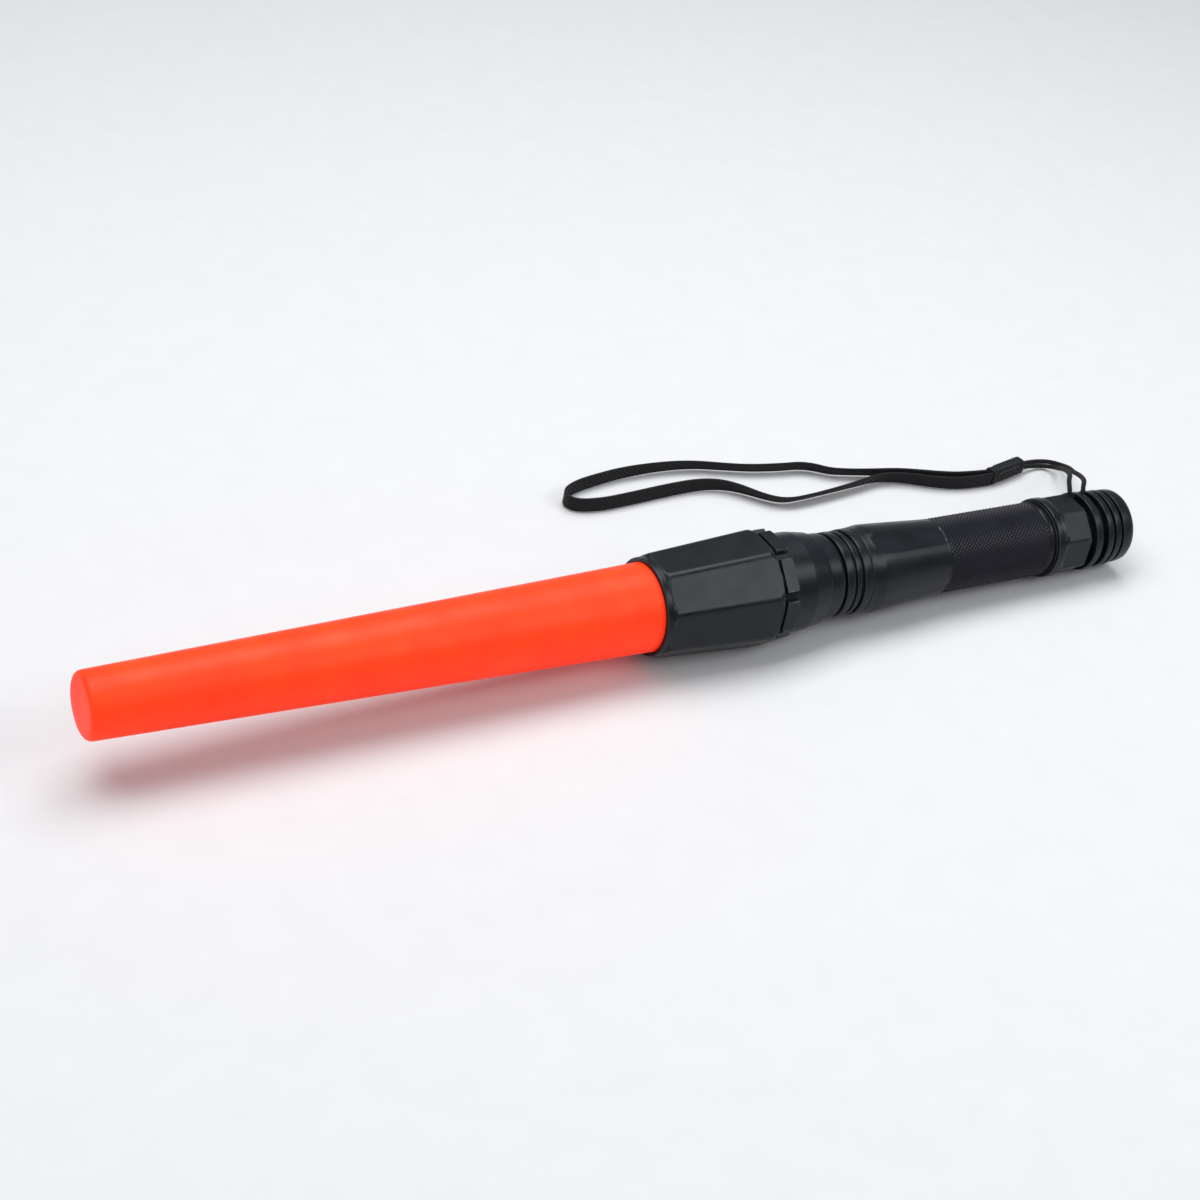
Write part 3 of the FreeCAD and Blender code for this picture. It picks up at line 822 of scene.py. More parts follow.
@dataclass(frozen=True)
class Knurl:
    """A diamond knurl rolled round a bar: rows of small blunt pyramids in two staggered sets."""

    start_x: float
    end_x: float
    root_r: float
    crest_r: float
    rows_round: int
    columns: int
    blunt: float = 0.16

    def build(self, name: str, finish: Finish) -> Piece:
        """Makes the pyramids, each with a blunt top that is a share of its foot.

        Args:
            name: The piece's name.
            finish: Its finish.

        Returns:
            The knurl.
        """
        rule = RuleTree("diamond_knurl", {
            "Start": self.start_x * MM, "Length": (self.end_x - self.start_x) * MM,
            "Root Radius": self.root_r * MM, "Height": (self.crest_r - self.root_r) * MM,
            "Rows": self.rows_round, "Columns": self.columns,
        })
        given = rule.given
        pitch = rule.calculate("DIVIDE", given["Length"], rule.calculate("SUBTRACT", given["Columns"], 1))
        grid = rule.add("GeometryNodeMeshGrid", None, {
            "Size X": given["Length"], "Size Y": 1.0,
            "Vertices X": given["Columns"], "Vertices Y": given["Rows"]})
        at = rule.add("ShaderNodeSeparateXYZ", None, {
            0: rule.add("GeometryNodeInputPosition").outputs[0]})
        from_start = rule.calculate("MULTIPLY_ADD", given["Length"], 0.5, at.outputs["X"])
        column = rule.calculate("ROUND", rule.calculate("DIVIDE", from_start, pitch))
        stagger = rule.calculate("MULTIPLY", rule.calculate("MODULO", column, 2.0), 0.5)
        gaps = rule.calculate("SUBTRACT", given["Rows"], 1.0)
        row = rule.calculate("MULTIPLY", rule.calculate("ADD", at.outputs["Y"], 0.5), gaps)
        share = rule.calculate("DIVIDE", rule.calculate("ADD", row, stagger), given["Rows"])
        angle = rule.calculate("MULTIPLY", share, math.tau)
        wrapped = rule.add("ShaderNodeCombineXYZ", None, {
            0: rule.calculate("ADD", from_start, given["Start"]),
            1: rule.calculate("MULTIPLY", rule.calculate("SINE", angle), given["Root Radius"]),
            2: rule.calculate("MULTIPLY", rule.calculate("COSINE", angle), given["Root Radius"])})
        facing = rule.add("ShaderNodeCombineXYZ", None, {
            0: rule.calculate("MULTIPLY", angle, -1.0)})
        # The angle and the wrapped place are both read from the flat grid, so the turn is stored
        # before the points move.
        stored, turn = rule.store(grid.outputs["Mesh"], "turn", facing.outputs[0])
        moved = rule.add("GeometryNodeSetPosition", None, {
            "Geometry": stored, "Position": wrapped.outputs[0]})
        pyramid = rule.add("GeometryNodeMeshCone", {"fill_type": "NGON"}, {
            "Vertices": 4, "Radius Bottom": pitch,
            "Radius Top": rule.calculate("MULTIPLY", pitch, self.blunt), "Depth": given["Height"]})
        reach = rule.calculate("DIVIDE", rule.calculate("MULTIPLY", given["Root Radius"], math.pi),
                               given["Rows"])
        squeeze = rule.add("ShaderNodeCombineXYZ", None, {
            0: 1.0, 1: rule.calculate("DIVIDE", reach, pitch), 2: 1.0})
        copies = rule.add("GeometryNodeInstanceOnPoints", None, {
            "Points": moved.outputs[0], "Instance": pyramid.outputs["Mesh"],
            "Rotation": turn, "Scale": squeeze.outputs[0]})
        piece = rule.run(name, bpy.data.meshes.new(name + "_base"), copies.outputs[0], finish)
        piece.data.transform(AXIS.matrix)
        return piece


@dataclass(frozen=True)
class Braid:
    """A round braid: strands that wind both ways round a line, each over one and under one."""

    strands: int
    pitch_mm: float
    centre_r: float
    strand_r: float
    swing: float
    step_mm: float = 0.35

    def build(self, name: str, line: bpy.types.Mesh, finish: Finish) -> Piece:
        """Makes the strands along a line.

        Args:
            name: The piece's name.
            line: The line's mesh, in metres in the row frame.
            finish: The strands' finish.

        Returns:
            The braid.
        """
        rule = RuleTree("round_braid", {
            "Step": self.step_mm * MM, "Pitch": self.pitch_mm * MM, "Centre Radius": self.centre_r * MM,
            "Swing": self.swing * MM, "Strand Radius": self.strand_r * MM, "Strands": self.strands,
        })
        given = rule.given
        path = rule.add("GeometryNodeMeshToCurve", None, {"Mesh": given["Geometry"]})
        even = rule.add("GeometryNodeResampleCurve", {"mode": "LENGTH"}, {
            "Curve": path.outputs[0], "Length": given["Step"]})
        many = rule.add("GeometryNodeDuplicateElements", {"domain": "SPLINE"}, {
            "Geometry": even.outputs[0], "Amount": given["Strands"]})
        index = many.outputs["Duplicate Index"]
        odd = rule.calculate("MODULO", index, 2.0)
        sense = rule.calculate("MULTIPLY_ADD", odd, 2.0, -1.0)
        length = rule.add("GeometryNodeSplineParameter").outputs["Length"]
        wound = rule.calculate("DIVIDE", rule.calculate("MULTIPLY", length, math.tau), given["Pitch"])
        set_number = rule.calculate("FLOOR", rule.calculate("DIVIDE", index, 2.0))
        first = rule.calculate("DIVIDE", rule.calculate("MULTIPLY", set_number, 2 * math.tau),
                               given["Strands"])
        angle = rule.calculate("MULTIPLY_ADD", wound, sense, first)
        half = rule.calculate("DIVIDE", given["Strands"], 2.0)
        lift = rule.calculate("MULTIPLY", rule.calculate("COSINE", rule.calculate("MULTIPLY", wound, half)),
                              sense)
        radius = rule.calculate("MULTIPLY_ADD", lift, given["Swing"], given["Centre Radius"])
        normal = rule.add("GeometryNodeInputNormal").outputs["Normal"]
        tangent = rule.add("GeometryNodeInputTangent").outputs[0]
        across = rule.calculate("CROSS_PRODUCT", tangent, normal, kind="ShaderNodeVectorMath")
        arms = []
        for direction, operation in ((normal, "COSINE"), (across, "SINE")):
            reach = rule.calculate("MULTIPLY", radius, rule.calculate(operation, angle))
            arms.append(rule.add("ShaderNodeVectorMath", {"operation": "SCALE"}, {
                0: direction, "Scale": reach}).outputs[0])
        offset = rule.calculate("ADD", *arms, kind="ShaderNodeVectorMath")
        stored, wind = rule.store(many.outputs["Geometry"], "wind", offset)
        laid = rule.add("GeometryNodeSetPosition", None, {"Geometry": stored, "Offset": wind})
        round_section = rule.add("GeometryNodeCurvePrimitiveCircle", None, {
            "Resolution": 6, "Radius": given["Strand Radius"]})
        strands = rule.add("GeometryNodeCurveToMesh", None, {
            "Curve": laid.outputs[0], "Profile Curve": round_section.outputs[0], "Fill Caps": True})
        return rule.run(name, line, strands.outputs[0], finish)


@dataclass(frozen=True)
class Stitching:
    """A row of lock stitches along a line: short rounded lengths of thread."""

    pitch_mm: float
    thread_mm: float
    half_length: float = 0.44

    def build(self, name: str, line: bpy.types.Mesh, finish: Finish) -> Piece:
        """Makes the stitches, whose half length is a share of the pitch.

        Args:
            name: The piece's name.
            line: The line's mesh, in metres in the row frame.
            finish: The thread's finish.

        Returns:
            The stitches.
        """
        rule = RuleTree("lock_stitches", {
            "Pitch": self.pitch_mm * MM, "Thread": self.thread_mm * MM})
        given = rule.given
        path = rule.add("GeometryNodeMeshToCurve", None, {"Mesh": given["Geometry"]})
        even = rule.add("GeometryNodeResampleCurve", {"mode": "LENGTH"}, {
            "Curve": path.outputs[0], "Length": given["Pitch"]})
        drop = rule.add("GeometryNodeMeshIcoSphere", None, {"Radius": 1.0, "Subdivisions": 2})
        long = rule.calculate("MULTIPLY", given["Pitch"], self.half_length)
        thick = rule.calculate("MULTIPLY", given["Thread"], 0.5)
        size = rule.add("ShaderNodeCombineXYZ", None, {0: long, 1: thick, 2: thick})
        facing = rule.add("FunctionNodeAlignRotationToVector", {"axis": "X"}, {
            "Vector": rule.add("GeometryNodeInputTangent").outputs[0]})
        copies = rule.add("GeometryNodeInstanceOnPoints", None, {
            "Points": even.outputs[0], "Instance": drop.outputs["Mesh"],
            "Rotation": facing.outputs[0], "Scale": size.outputs[0]})
        return rule.run(name, line, copies.outputs[0], finish)


@dataclass(frozen=True)
class Coil:
    """A round-wire spring wound about the torch's axis."""

    start_x: float
    end_x: float
    radius: float
    wire_r: float
    turns: float

    def build(self, name: str, finish: Finish) -> Piece:
        """Winds the spring.

        Args:
            name: The piece's name.
            finish: The wire's finish.

        Returns:
            The spring.
        """
        rule = RuleTree(name + "_winding", {
            "Turns": self.turns, "Radius": self.radius * MM, "Wire Radius": self.wire_r * MM,
            "Rise": (self.end_x - self.start_x - 2 * self.wire_r) * MM})
        given = rule.given
        helix = rule.add("GeometryNodeCurveSpiral", None, {
            "Resolution": 28, "Rotations": given["Turns"], "Start Radius": given["Radius"],
            "End Radius": given["Radius"], "Height": given["Rise"]})
        section = rule.add("GeometryNodeCurvePrimitiveCircle", None, {
            "Resolution": 10, "Radius": given["Wire Radius"]})
        wire = rule.add("GeometryNodeCurveToMesh", None, {
            "Curve": helix.outputs[0], "Profile Curve": section.outputs[0], "Fill Caps": True})
        piece = rule.run(name, bpy.data.meshes.new(name + "_base"), wire.outputs[0], finish)
        stand = Matrix.Translation(((self.start_x + self.wire_r) * MM, 0, 0))
        piece.data.transform(AXIS.matrix @ stand @ Matrix.Rotation(math.pi / 2, 4, "Y"))
        return piece


# ---- sub-assemblies ------------------------------------------------------------------------------

@dataclass
class SubAssembly:
    """A group of pieces that moves as one body."""

    body: str

    def fit(self, piece: Piece, finish: Finish, slot: str, *nodes: str) -> Piece:
        """Finishes a new piece and puts it on its body.

        Args:
            piece: The piece.
            finish: Its finish.
            slot: The record's material slot; not used.
            nodes: The CAD nodes that it stands for.

        Returns:
            The piece.
        """
        if not piece.data.materials:
            piece.data.materials.append(finish.build())
        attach(piece, self.body)
        self.record(piece, slot, *nodes)
        return piece

    def record(self, piece: Piece, slot: str, *nodes: str) -> None:
        """Hides the nodes that the piece stands for, and logs it."""
        if nodes:
            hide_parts(*nodes)
        faces = len(piece.data.polygons)
        log.info("%s: %d faces, stands for %s", piece.name, faces, ", ".join(nodes) or "itself")

    def dress(self, finishes: dict[str, Finish]) -> None:
        """Gives CAD nodes their finishes; their shapes stay as they are."""
        for node, finish in finishes.items():
            materials = frame["nodes"][node].data.materials
            materials.clear()
            materials.append(finish.build())
            log.info("%s: finished in %s", node, finish.name)


@dataclass
class SignalCone(SubAssembly):
    """The hollow orange cone that makes the torch a baton."""

    tip_x: float = -180.0
    tip_r: float = 10.1
    mouth_r: float = 14.1
    seat: float = 8.0
    wall: float = 1.5
    corner: float = 2.2

    def build(self) -> None:
        """Moulds the cone."""
        inner_tip, inner_mouth = self.tip_r - self.wall, self.mouth_r - self.wall
        shell = turned_piece("cone_moulding", [
            (self.tip_x, 0), (self.tip_x, self.tip_r, self.corner), (0, self.mouth_r),
            (self.seat, self.mouth_r), (self.seat, inner_mouth), (0, inner_mouth),
            (self.tip_x + self.wall, inner_tip, self.corner - 1.0), (self.tip_x + self.wall, 0),
        ], steps=128, step_mm=4.0, closed=False)
        self.fit(shell, CONE_PLASTIC, "cone_orange", "cone_shell")


@dataclass
class SlidingHead(SubAssembly):
    """The faceted head, its grip ring and collar, and the lens inside."""

    facets: int = 8
    lip_r: float = 15.6
    front_r: float = 16.7
    rear_r: float = 19.0
    facet_start: tuple[float, float] = (2.0, 15.6)
    facet_end: tuple[float, float] = (40.7, 17.9)
    socket_r: float = 14.2
    ring: tuple[float, float] = (42.0, 46.8)
    ring_flat_r: float = 17.45
    notch_floor_r: float = 16.6
    notch_half_width: float = 1.3

    def mill_facets(self, x: np.ndarray, r: np.ndarray, angle: np.ndarray) -> np.ndarray:
        """Cuts the long flats."""
        (x0, r0), (x1, r1) = self.facet_start, self.facet_end
        flat = (r0 + (x - x0) * (r1 - r0) / (x1 - x0)) / np.cos(from_nearest(angle, self.facets))
        outside = (x >= x0 - 0.01) & (r > self.lip_r - 0.4)
        return np.where(outside, soft_min(r, flat), r)

    def mill_ring(self, x: np.ndarray, r: np.ndarray, angle: np.ndarray) -> np.ndarray:
        """Cuts the grip ring's flats and the notches between them."""
        inside = (x > self.ring[0]) & (x < self.ring[1]) & (r > self.notch_floor_r - 0.1)
        flat = self.ring_flat_r / np.cos(from_nearest(angle, self.facets))
        off = np.abs(r * np.sin(from_nearest(angle, self.facets, 180 / self.facets)))
        depth = np.clip((off - self.notch_half_width) / 0.3, 0.0, 1.0)
        cut = self.notch_floor_r + (soft_min(r, flat) - self.notch_floor_r) * depth
        return np.where(inside, cut, r)

    def build(self) -> None:
        """Builds the two visible pieces and finishes the lens group."""
        x0, x1 = self.facet_start[0], self.facet_end[0]
        shell = turned_piece("faceted_head", [
            (0, self.socket_r), (0, self.lip_r, 0.5), (x0, self.lip_r), (x0 + 1.1, self.front_r, 0.5),
            (x1 - 1.8, self.rear_r, 0.6), (x1, self.rear_r - 0.4, 0.4), (x1, 14.8), (34.5, 14.8),
            (34.5, 13.9), (14.6, 13.9), (14.6, 13.0), (13.4, 13.0), (13.4, 14.0), (8.4, 14.0),
            (8.4, self.socket_r),
        ], trim=self.mill_facets, step_mm=1.3)
        mark_edges(shell)
        self.fit(shell, BLACK_ANODISE, "black_anodised", "head_shell")
        collar = turned_piece("head_grip_collar", [
            (34.6, 12.3), (34.6, 14.7), (40.9, 14.7), (40.9, 16.6), (42.2, 16.6), (42.2, 18.5, 0.4),
            (46.6, 18.2, 0.5), (46.6, 16.2), (54.5, 16.0, 3.0), (60.8, 14.9, 0.5), (61.6, 14.2),
            (66.0, 13.9, 0.8), (67.2, 13.3, 0.4), (67.2, 12.3),
        ], steps=384, step_mm=1.2, trim=self.mill_ring)
        mark_edges(collar)
        self.fit(collar, BLACK_ANODISE, "black_anodised", "head_collar")
        self.dress({"lens_ring": BARE_ALUMINIUM, "lens_gasket": BLACK_SILICONE,
                    "focus_lens": CLEAR_ACRYLIC})


@dataclass
class Barrel(SubAssembly):
    """The neck that the head slides on, the barrel with its knurled grip, and what they hold."""

    flat_start: tuple[float, float] = (80.8, 13.9)
    flat_end: tuple[float, float] = (109.0, 12.05)
    flat_deg: float = -20.0
    thread_span: tuple[float, float] = (156.1, 161.7)
    thread_pitch: float = 1.25
    thread_depth: float = 0.35
    grip: tuple[float, float] = (110.2, 150.6)
    grip_root_r: float = 12.18
    grip_crest_r: float = 12.5

    def mill_barrel(self, x: np.ndarray, r: np.ndarray, angle: np.ndarray) -> np.ndarray:
        """Cuts the two milled flats and the tail thread."""
        (x0, r0), (x1, r1) = self.flat_start, self.flat_end
        near = from_nearest(angle, 2, self.flat_deg)
        flat = (r0 + (x - x0) * (r1 - r0) / (x1 - x0)) / np.maximum(np.cos(near), 0.2)
        ends = np.clip((x0 - x) / 0.25, 0.0, 1.0) * 3.0 + np.clip((x - x1) / 0.4, 0.0, 1.0) * 3.0
        milled = np.where(r > 12.1, soft_min(r, flat + ends), r)
        wave = 0.5 + 0.5 * np.cos(math.tau * x / self.thread_pitch - angle)
        threaded = (x > self.thread_span[0]) & (x < self.thread_span[1]) & (r > 10.5)
        return np.where(threaded, r - self.thread_depth * wave, milled)

    def build(self) -> None:
        """Builds the neck, the barrel and the knurl, and finishes what is inside."""
        neck = turned_piece("ribbed_neck", [
            (22.5, 10.6), (22.5, 13.4, 0.3), (26.0, 13.4, 0.3), (26.0, 12.15), (49.2, 12.15),
            (49.2, 11.1), (51.0, 11.1), (51.0, 12.15), (59.2, 12.15), (59.2, 11.1), (61.0, 11.1),
            (61.0, 12.15), (67.8, 12.15), (67.8, 13.8, 0.35), (70.6, 13.8, 0.35), (70.6, 12.9),
            (71.6, 12.9), (71.6, 13.7, 0.35), (73.2, 13.7, 0.35), (73.2, 12.9), (74.4, 12.9),
            (74.4, 13.9, 0.35), (77.5, 13.9, 0.35), (77.5, 10.9), (78.3, 10.9), (78.3, 9.9),
            (79.9, 9.9), (79.9, 10.9), (86.0, 10.9, 0.3), (86.0, 8.8), (38.2, 8.8), (38.2, 10.6),
        ], steps=144)
        mark_edges(neck)
        self.fit(neck, BLACK_ANODISE, "black_anodised", "neck_tube")
        g0, g1 = self.grip
        tube = turned_piece("flared_barrel", [
            (77.6, 11.0), (77.6, 13.9, 0.3), (79.6, 14.0), (82.6, 14.35, 1.5), (86.0, 14.2, 6.0),
            (101.0, 13.1, 20.0), (109.0, 12.5), (g0 - 0.5, 12.5), (g0, self.grip_root_r),
            (g1, self.grip_root_r), (g1 + 0.5, 12.5), (151.4, 12.5, 0.4), (151.4, 12.0),
            (152.9, 12.0), (152.9, 10.7), (154.4, 10.7), (154.4, 9.8), (156.0, 9.8), (156.0, 10.7),
            (161.8, 10.7, 0.4), (161.8, 8.8), (86.2, 8.8), (86.2, 11.0),
        ], steps=256, step_mm=0.5, trim=self.mill_barrel)
        mark_edges(tube)
        self.fit(tube, BLACK_ANODISE, "black_anodised", "barrel_tube")
        knurl = Knurl(g0 + 0.6, g1 - 0.6, self.grip_root_r, self.grip_crest_r, 56, 57)
        self.fit(knurl.build("knurled_grip", KNURL_ANODISE), KNURL_ANODISE, "black_anodised")
        self.dress({
            "neck_seals": BLACK_SILICONE, "front_seal": BLACK_SILICONE, "rear_seal": BLACK_SILICONE,
            "led_pill": BRASS, "star_board": WHITE_BOARD, "led_emitter": PHOSPHOR,
            "star_insulator": WHITE_ABS, "led_leads": RED_LEAD, "driver_board": GREEN_BOARD,
            "driver_parts": BLACK_EPOXY, "driver_spring": SPRING_STEEL, "cell_cans": NICKEL_STEEL,
            "cell_cores": WOUND_FOIL, "cell_caps": NICKEL_STEEL, "cell_insulators": FIBRE_WASHER,
            "cell_wraps": CELL_SLEEVE,
        })


@dataclass
class TailCap(SubAssembly):
    """The scalloped tail cap, its switch and the rubber button over it."""

    scallops: int = 8
    scallop_r: float = 12.45
    scallop_start: float = 157.0
    eye_x: tuple[float, float] = (169.3, 172.9)
    eye_r: float = 1.1
    eye_pitch_r: float = 11.4
    eye_deg: float = 20.0
    fold_x: tuple[float, float] = (178.6, 184.2)

    def mill_scallops(self, x: np.ndarray, r: np.ndarray, angle: np.ndarray) -> np.ndarray:
        """Cuts the flats that give the fingers a hold."""
        flat = self.scallop_r / np.cos(from_nearest(angle, self.scallops))
        ends = np.clip((self.scallop_start - x) / 0.4, 0.0, 1.0) * 2.0
        outside = (x > 150.0) & (x < 168.0) & (r > self.scallop_r - 0.5)
        return np.where(outside, soft_min(r, flat + ends), r)

    def drill_eye(self, cap: Piece) -> None:
        """Drills the lanyard's eye through the eye ring."""
        angle = math.radians(self.eye_deg)
        centre = self.eye_pitch_r * math.sin(angle), self.eye_pitch_r * math.cos(angle)
        around = 24
        points = np.array([
            AXIS.place(x, centre[0] + self.eye_r * math.sin(a), centre[1] + self.eye_r * math.cos(a))
            for x in self.eye_x for a in np.arange(around) * math.tau / around])
        drill = mesh_piece("eye_drill", points, ring_faces(2, around) + end_caps(2, around), 30.0)
        hole = cap.modifiers.new("eye", "BOOLEAN")
        hole.operation = "DIFFERENCE"
        hole.object = drill
        hole.solver = "EXACT"
        graph = bpy.context.evaluated_depsgraph_get()
        drilled = bpy.data.meshes.new_from_object(cap.evaluated_get(graph), depsgraph=graph)
        cap.modifiers.remove(hole)
        cap.data = drilled
        bpy.data.objects.remove(drill)

    def build(self) -> None:
        """Builds the cap, the button and its spring, and finishes the switch."""
        cap = turned_piece("scalloped_tail_cap", [
            (153.55, 10.8), (153.55, 13.4, 0.5), (167.3, 13.4, 0.5), (167.3, 10.5),
            (169.8, 10.5), (169.8, 13.3, 0.3), (172.4, 13.3, 0.3), (172.4, 10.5),
            (175.2, 10.5), (175.2, 13.0, 0.3), (177.4, 13.0, 0.3), (177.4, 10.5),
            (178.6, 10.5), (178.6, 12.8, 0.3), (180.8, 12.8, 0.3), (180.8, 10.5),
            (182.0, 10.5), (182.0, 12.6, 0.3), (187.0, 12.4, 2.6), (187.0, 7.6, 0.3),
            (177.5, 7.6), (177.5, 9.3), (163.4, 9.3), (163.4, 10.8),
        ], steps=256, step_mm=0.9, trim=self.mill_scallops)
        self.drill_eye(cap)
        mark_edges(cap)
        self.fit(cap, BLACK_ANODISE, "black_anodised", "tail_cap")
        boot = turned_piece("rubber_button", [
            (176.5, 5.6), (176.5, 9.2), (177.4, 9.2), (177.4, 7.4), (184.2, 7.4, 1.2),
            (186.3, 4.6, 1.6), (186.5, 0), (185.1, 0), (184.9, 4.2, 0.8), (183.2, 6.0, 0.6),
            (178.0, 6.0), (178.0, 5.6),
        ], steps=96, step_mm=0.7)
        boot.data.materials.append(BLACK_SILICONE.build())
        fold = [AXIS.place(x) for x in self.fold_x]
        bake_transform(boot)
        self.record(boot, "black_rubber", "tail_boot")
        coil = Coil(168.42, 171.78, 2.5, 0.3, 3.0)
        spring = coil.build("plunger_return_spring", SPRING_STEEL)
        AXIS.place(168.8)
        AXIS.place(171.5)
        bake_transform(spring)
        self.record(spring, "spring_steel", "plunger_spring")
        # The thrust washer's black is painted shade for the gap in front of the tail cap.
        self.dress({
            "switch_retaining_ring": BARE_ALUMINIUM, "switch_board": GREEN_BOARD,
            "battery_spring": SPRING_STEEL, "switch_housing": BLACK_ABS, "boot_spacer": WHITE_ABS,
            "switch_plunger": BLACK_ABS, "thrust_washer": BLACK_NYLON_GAP_SHADE,
        })


@dataclass
class Lanyard(SubAssembly):
    """The wrist lanyard: a woven strap, a sewn tab and a braided cord through the eye."""

    strap_width: float = 5.5
    strap_thickness: float = 1.3
    cord_d: float = 1.6
    tab_size: tuple[float, float, float] = (17.0, 4.8, 6.2)
    tab_centre: tuple[float, float, float] = (178.5, 53.0, 3.2)
    tab_turn: float = 12.0
    # The stitched box and how deep the thread lies, as shares of the tab's half sizes.
    stitch_box: tuple[float, float] = (0.62, 0.55)
    stitch_sink: tuple[float, float] = (0.94, 0.95)
    core_r: float = 0.5

    STRAP_ROUTE = [
        (0.1699, 0.0524, 0.0029), (0.1602, 0.0539, 0.0029), (0.1524, 0.0572, 0.0029),
        (0.1460, 0.0609, 0.0029), (0.1390, 0.0646, 0.0029), (0.1294, 0.0676, 0.0029),
        (0.1220, 0.0700, 0.0029), (0.1156, 0.0724, 0.0029), (0.1112, 0.0766, 0.0029),
        (0.1062, 0.0790, 0.0029), (0.0992, 0.0799, 0.0029), (0.0880, 0.0828, 0.0029),
        (0.0785, 0.0869, 0.0029), (0.0700, 0.0905, 0.0029), (0.0610, 0.0924, 0.0029),
        (0.0500, 0.0932, 0.0029), (0.0405, 0.0930, 0.0029), (0.0315, 0.0918, 0.0029),
        (0.0224, 0.0902, 0.0029), (0.0154, 0.0864, 0.0029), (0.0158, 0.0800, 0.0029),
        (0.0250, 0.0774, 0.0029), (0.0380, 0.0778, 0.0029), (0.0520, 0.0786, 0.0029),
        (0.0645, 0.0786, 0.0029), (0.0728, 0.0762, 0.0029), (0.0786, 0.0716, 0.0029),
        (0.0846, 0.0642, 0.0029), (0.0902, 0.0606, 0.0029), (0.0985, 0.0606, 0.0029),
        (0.1100, 0.0614, 0.0029), (0.1215, 0.0624, 0.0029), (0.1298, 0.0636, 0.0029),
        (0.1382, 0.0612, 0.0029), (0.1442, 0.0574, 0.0029), (0.1510, 0.0534, 0.0029),
        (0.1596, 0.0504, 0.0029), (0.1704, 0.0500, 0.0029),
    ]
    CORD_ROUTE = [
        (0.1865, 0.0559, 0.0026), (0.1915, 0.0573, 0.0015), (0.1972, 0.0576, 0.0010),
        (0.2019, 0.0554, 0.0012), (0.2034, 0.0502, 0.0024), (0.2012, 0.0444, 0.0052),
        (0.1968, 0.0374, 0.0086), (0.1914, 0.0300, 0.0134), (0.1854, 0.0220, 0.0184),
        (0.1794, 0.0146, 0.0230), (0.1744, 0.0090, 0.0264), (0.1710, 0.0054, 0.0275),
        (0.1703, 0.0039, 0.0241), (0.1651, 0.0039, 0.0243), (0.1650, 0.0053, 0.0276),
        (0.1674, 0.0092, 0.0284), (0.1730, 0.0148, 0.0256), (0.1798, 0.0226, 0.0206),
        (0.1864, 0.0306, 0.0154), (0.1924, 0.0384, 0.0102), (0.1969, 0.0451, 0.0056),
        (0.1994, 0.0504, 0.0024), (0.1978, 0.0540, 0.0010), (0.1924, 0.0548, 0.0015),
        (0.1870, 0.0538, 0.0027),
    ]
    # How far the strap leans towards the torch, in degrees, at even steps along it.
    STRAP_LEAN = [
        4, 10, 24, 34, 40, 34, 30, 36, 34, 26, 18, 8, 4, 2, 0, 0, 0, 4, 26, 44, 46, 44, 36, 22, 12,
        6, 4,
    ]

    def strap_mesh(self, line: np.ndarray) -> Piece:
        """The woven strap along its line, leaning a little one way and the other.

        Args:
            line: The line's points in metres.

        Returns:
            The strap, with its weave map in millimetres.
        """
        points = evenly(line, 0.9 * MM)
        count = len(points)
        tangent = np.gradient(points, axis=0)
        tangent /= np.linalg.norm(tangent, axis=1)[:, None]
        along = np.linspace(0, length_of(points), count) / MM
        rows = np.linspace(0, len(self.STRAP_LEAN) - 1, count)
        lean = np.radians(np.interp(rows, np.arange(len(self.STRAP_LEAN)), self.STRAP_LEAN))
        lean = np.convolve(np.pad(lean, 9, "edge"), np.ones(19) / 19, "valid")
        level = np.stack([tangent[:, 1], -tangent[:, 0], np.zeros(count)], axis=1)
        level *= -np.sign(level[:, 1:2] + 1e-9)
        up = np.cos(lean)[:, None] * np.array([0.0, 0.0, 1.0]) + np.sin(lean)[:, None] * level
        side = np.cross(tangent, up)
        half_w, half_t = (self.strap_width / 2 - 0.1) * MM, (self.strap_thickness / 2 - 0.05) * MM
        around = 28
        turn = np.arange(around) * math.tau / around
        wide, thick = squared(turn, 0.35)[0], squared(turn, 0.55)[1]
        # The two selvedges are a little thicker than the middle, as on real tape.
        thick *= 0.86 + 0.14 * np.clip((np.abs(wide) - 0.72) / 0.1, 0, 1)
        foot = 0.25 * MM + half_w * np.cos(lean) + half_t * np.abs(np.sin(lean))
        points[:, 2] = foot
        rings = (points[:, None, :] + up[:, None, :] * (wide * half_w)[None, :, None]
                 + side[:, None, :] * (thick * half_t)[None, :, None])
        mesh = bpy.data.meshes.new("woven_strap")
        faces = ring_faces(count, around) + end_caps(count, around)
        mesh.from_pydata(rings.reshape(-1, 3).tolist(), [], faces)
        section = np.stack([wide * half_w, thick * half_t], axis=1)
        girth = np.concatenate([[0], np.cumsum(np.linalg.norm(
            np.diff(np.vstack([section, section[:1]]), axis=0), axis=1))]) / MM
        weave = mesh.uv_layers.new(name=WEAVE_UV)
        for face in mesh.polygons:
            seam = {v % around for v in face.vertices} >= {0, around - 1} and len(face.vertices) == 4
            for corner, vertex in zip(face.loop_indices, face.vertices):
                j = vertex % around
                across = girth[around] if seam and j == 0 else girth[j]
                weave.data[corner].uv = (across, along[vertex // around])
        work = bmesh.new()
        work.from_mesh(mesh)
        bmesh.ops.recalc_face_normals(work, faces=work.faces)
        for face in work.faces:
            face.smooth = len(face.verts) == 4
        work.to_mesh(mesh)
        work.free()
        return put_in_scene("woven_strap", mesh)

    def tab_frame(self) -> Matrix:
        """The tab's own frame: x along it, z up."""
        turn = Matrix.Rotation(math.radians(self.tab_turn), 4, "Z")
        return Matrix.Translation(Vector(self.tab_centre) * MM) @ turn

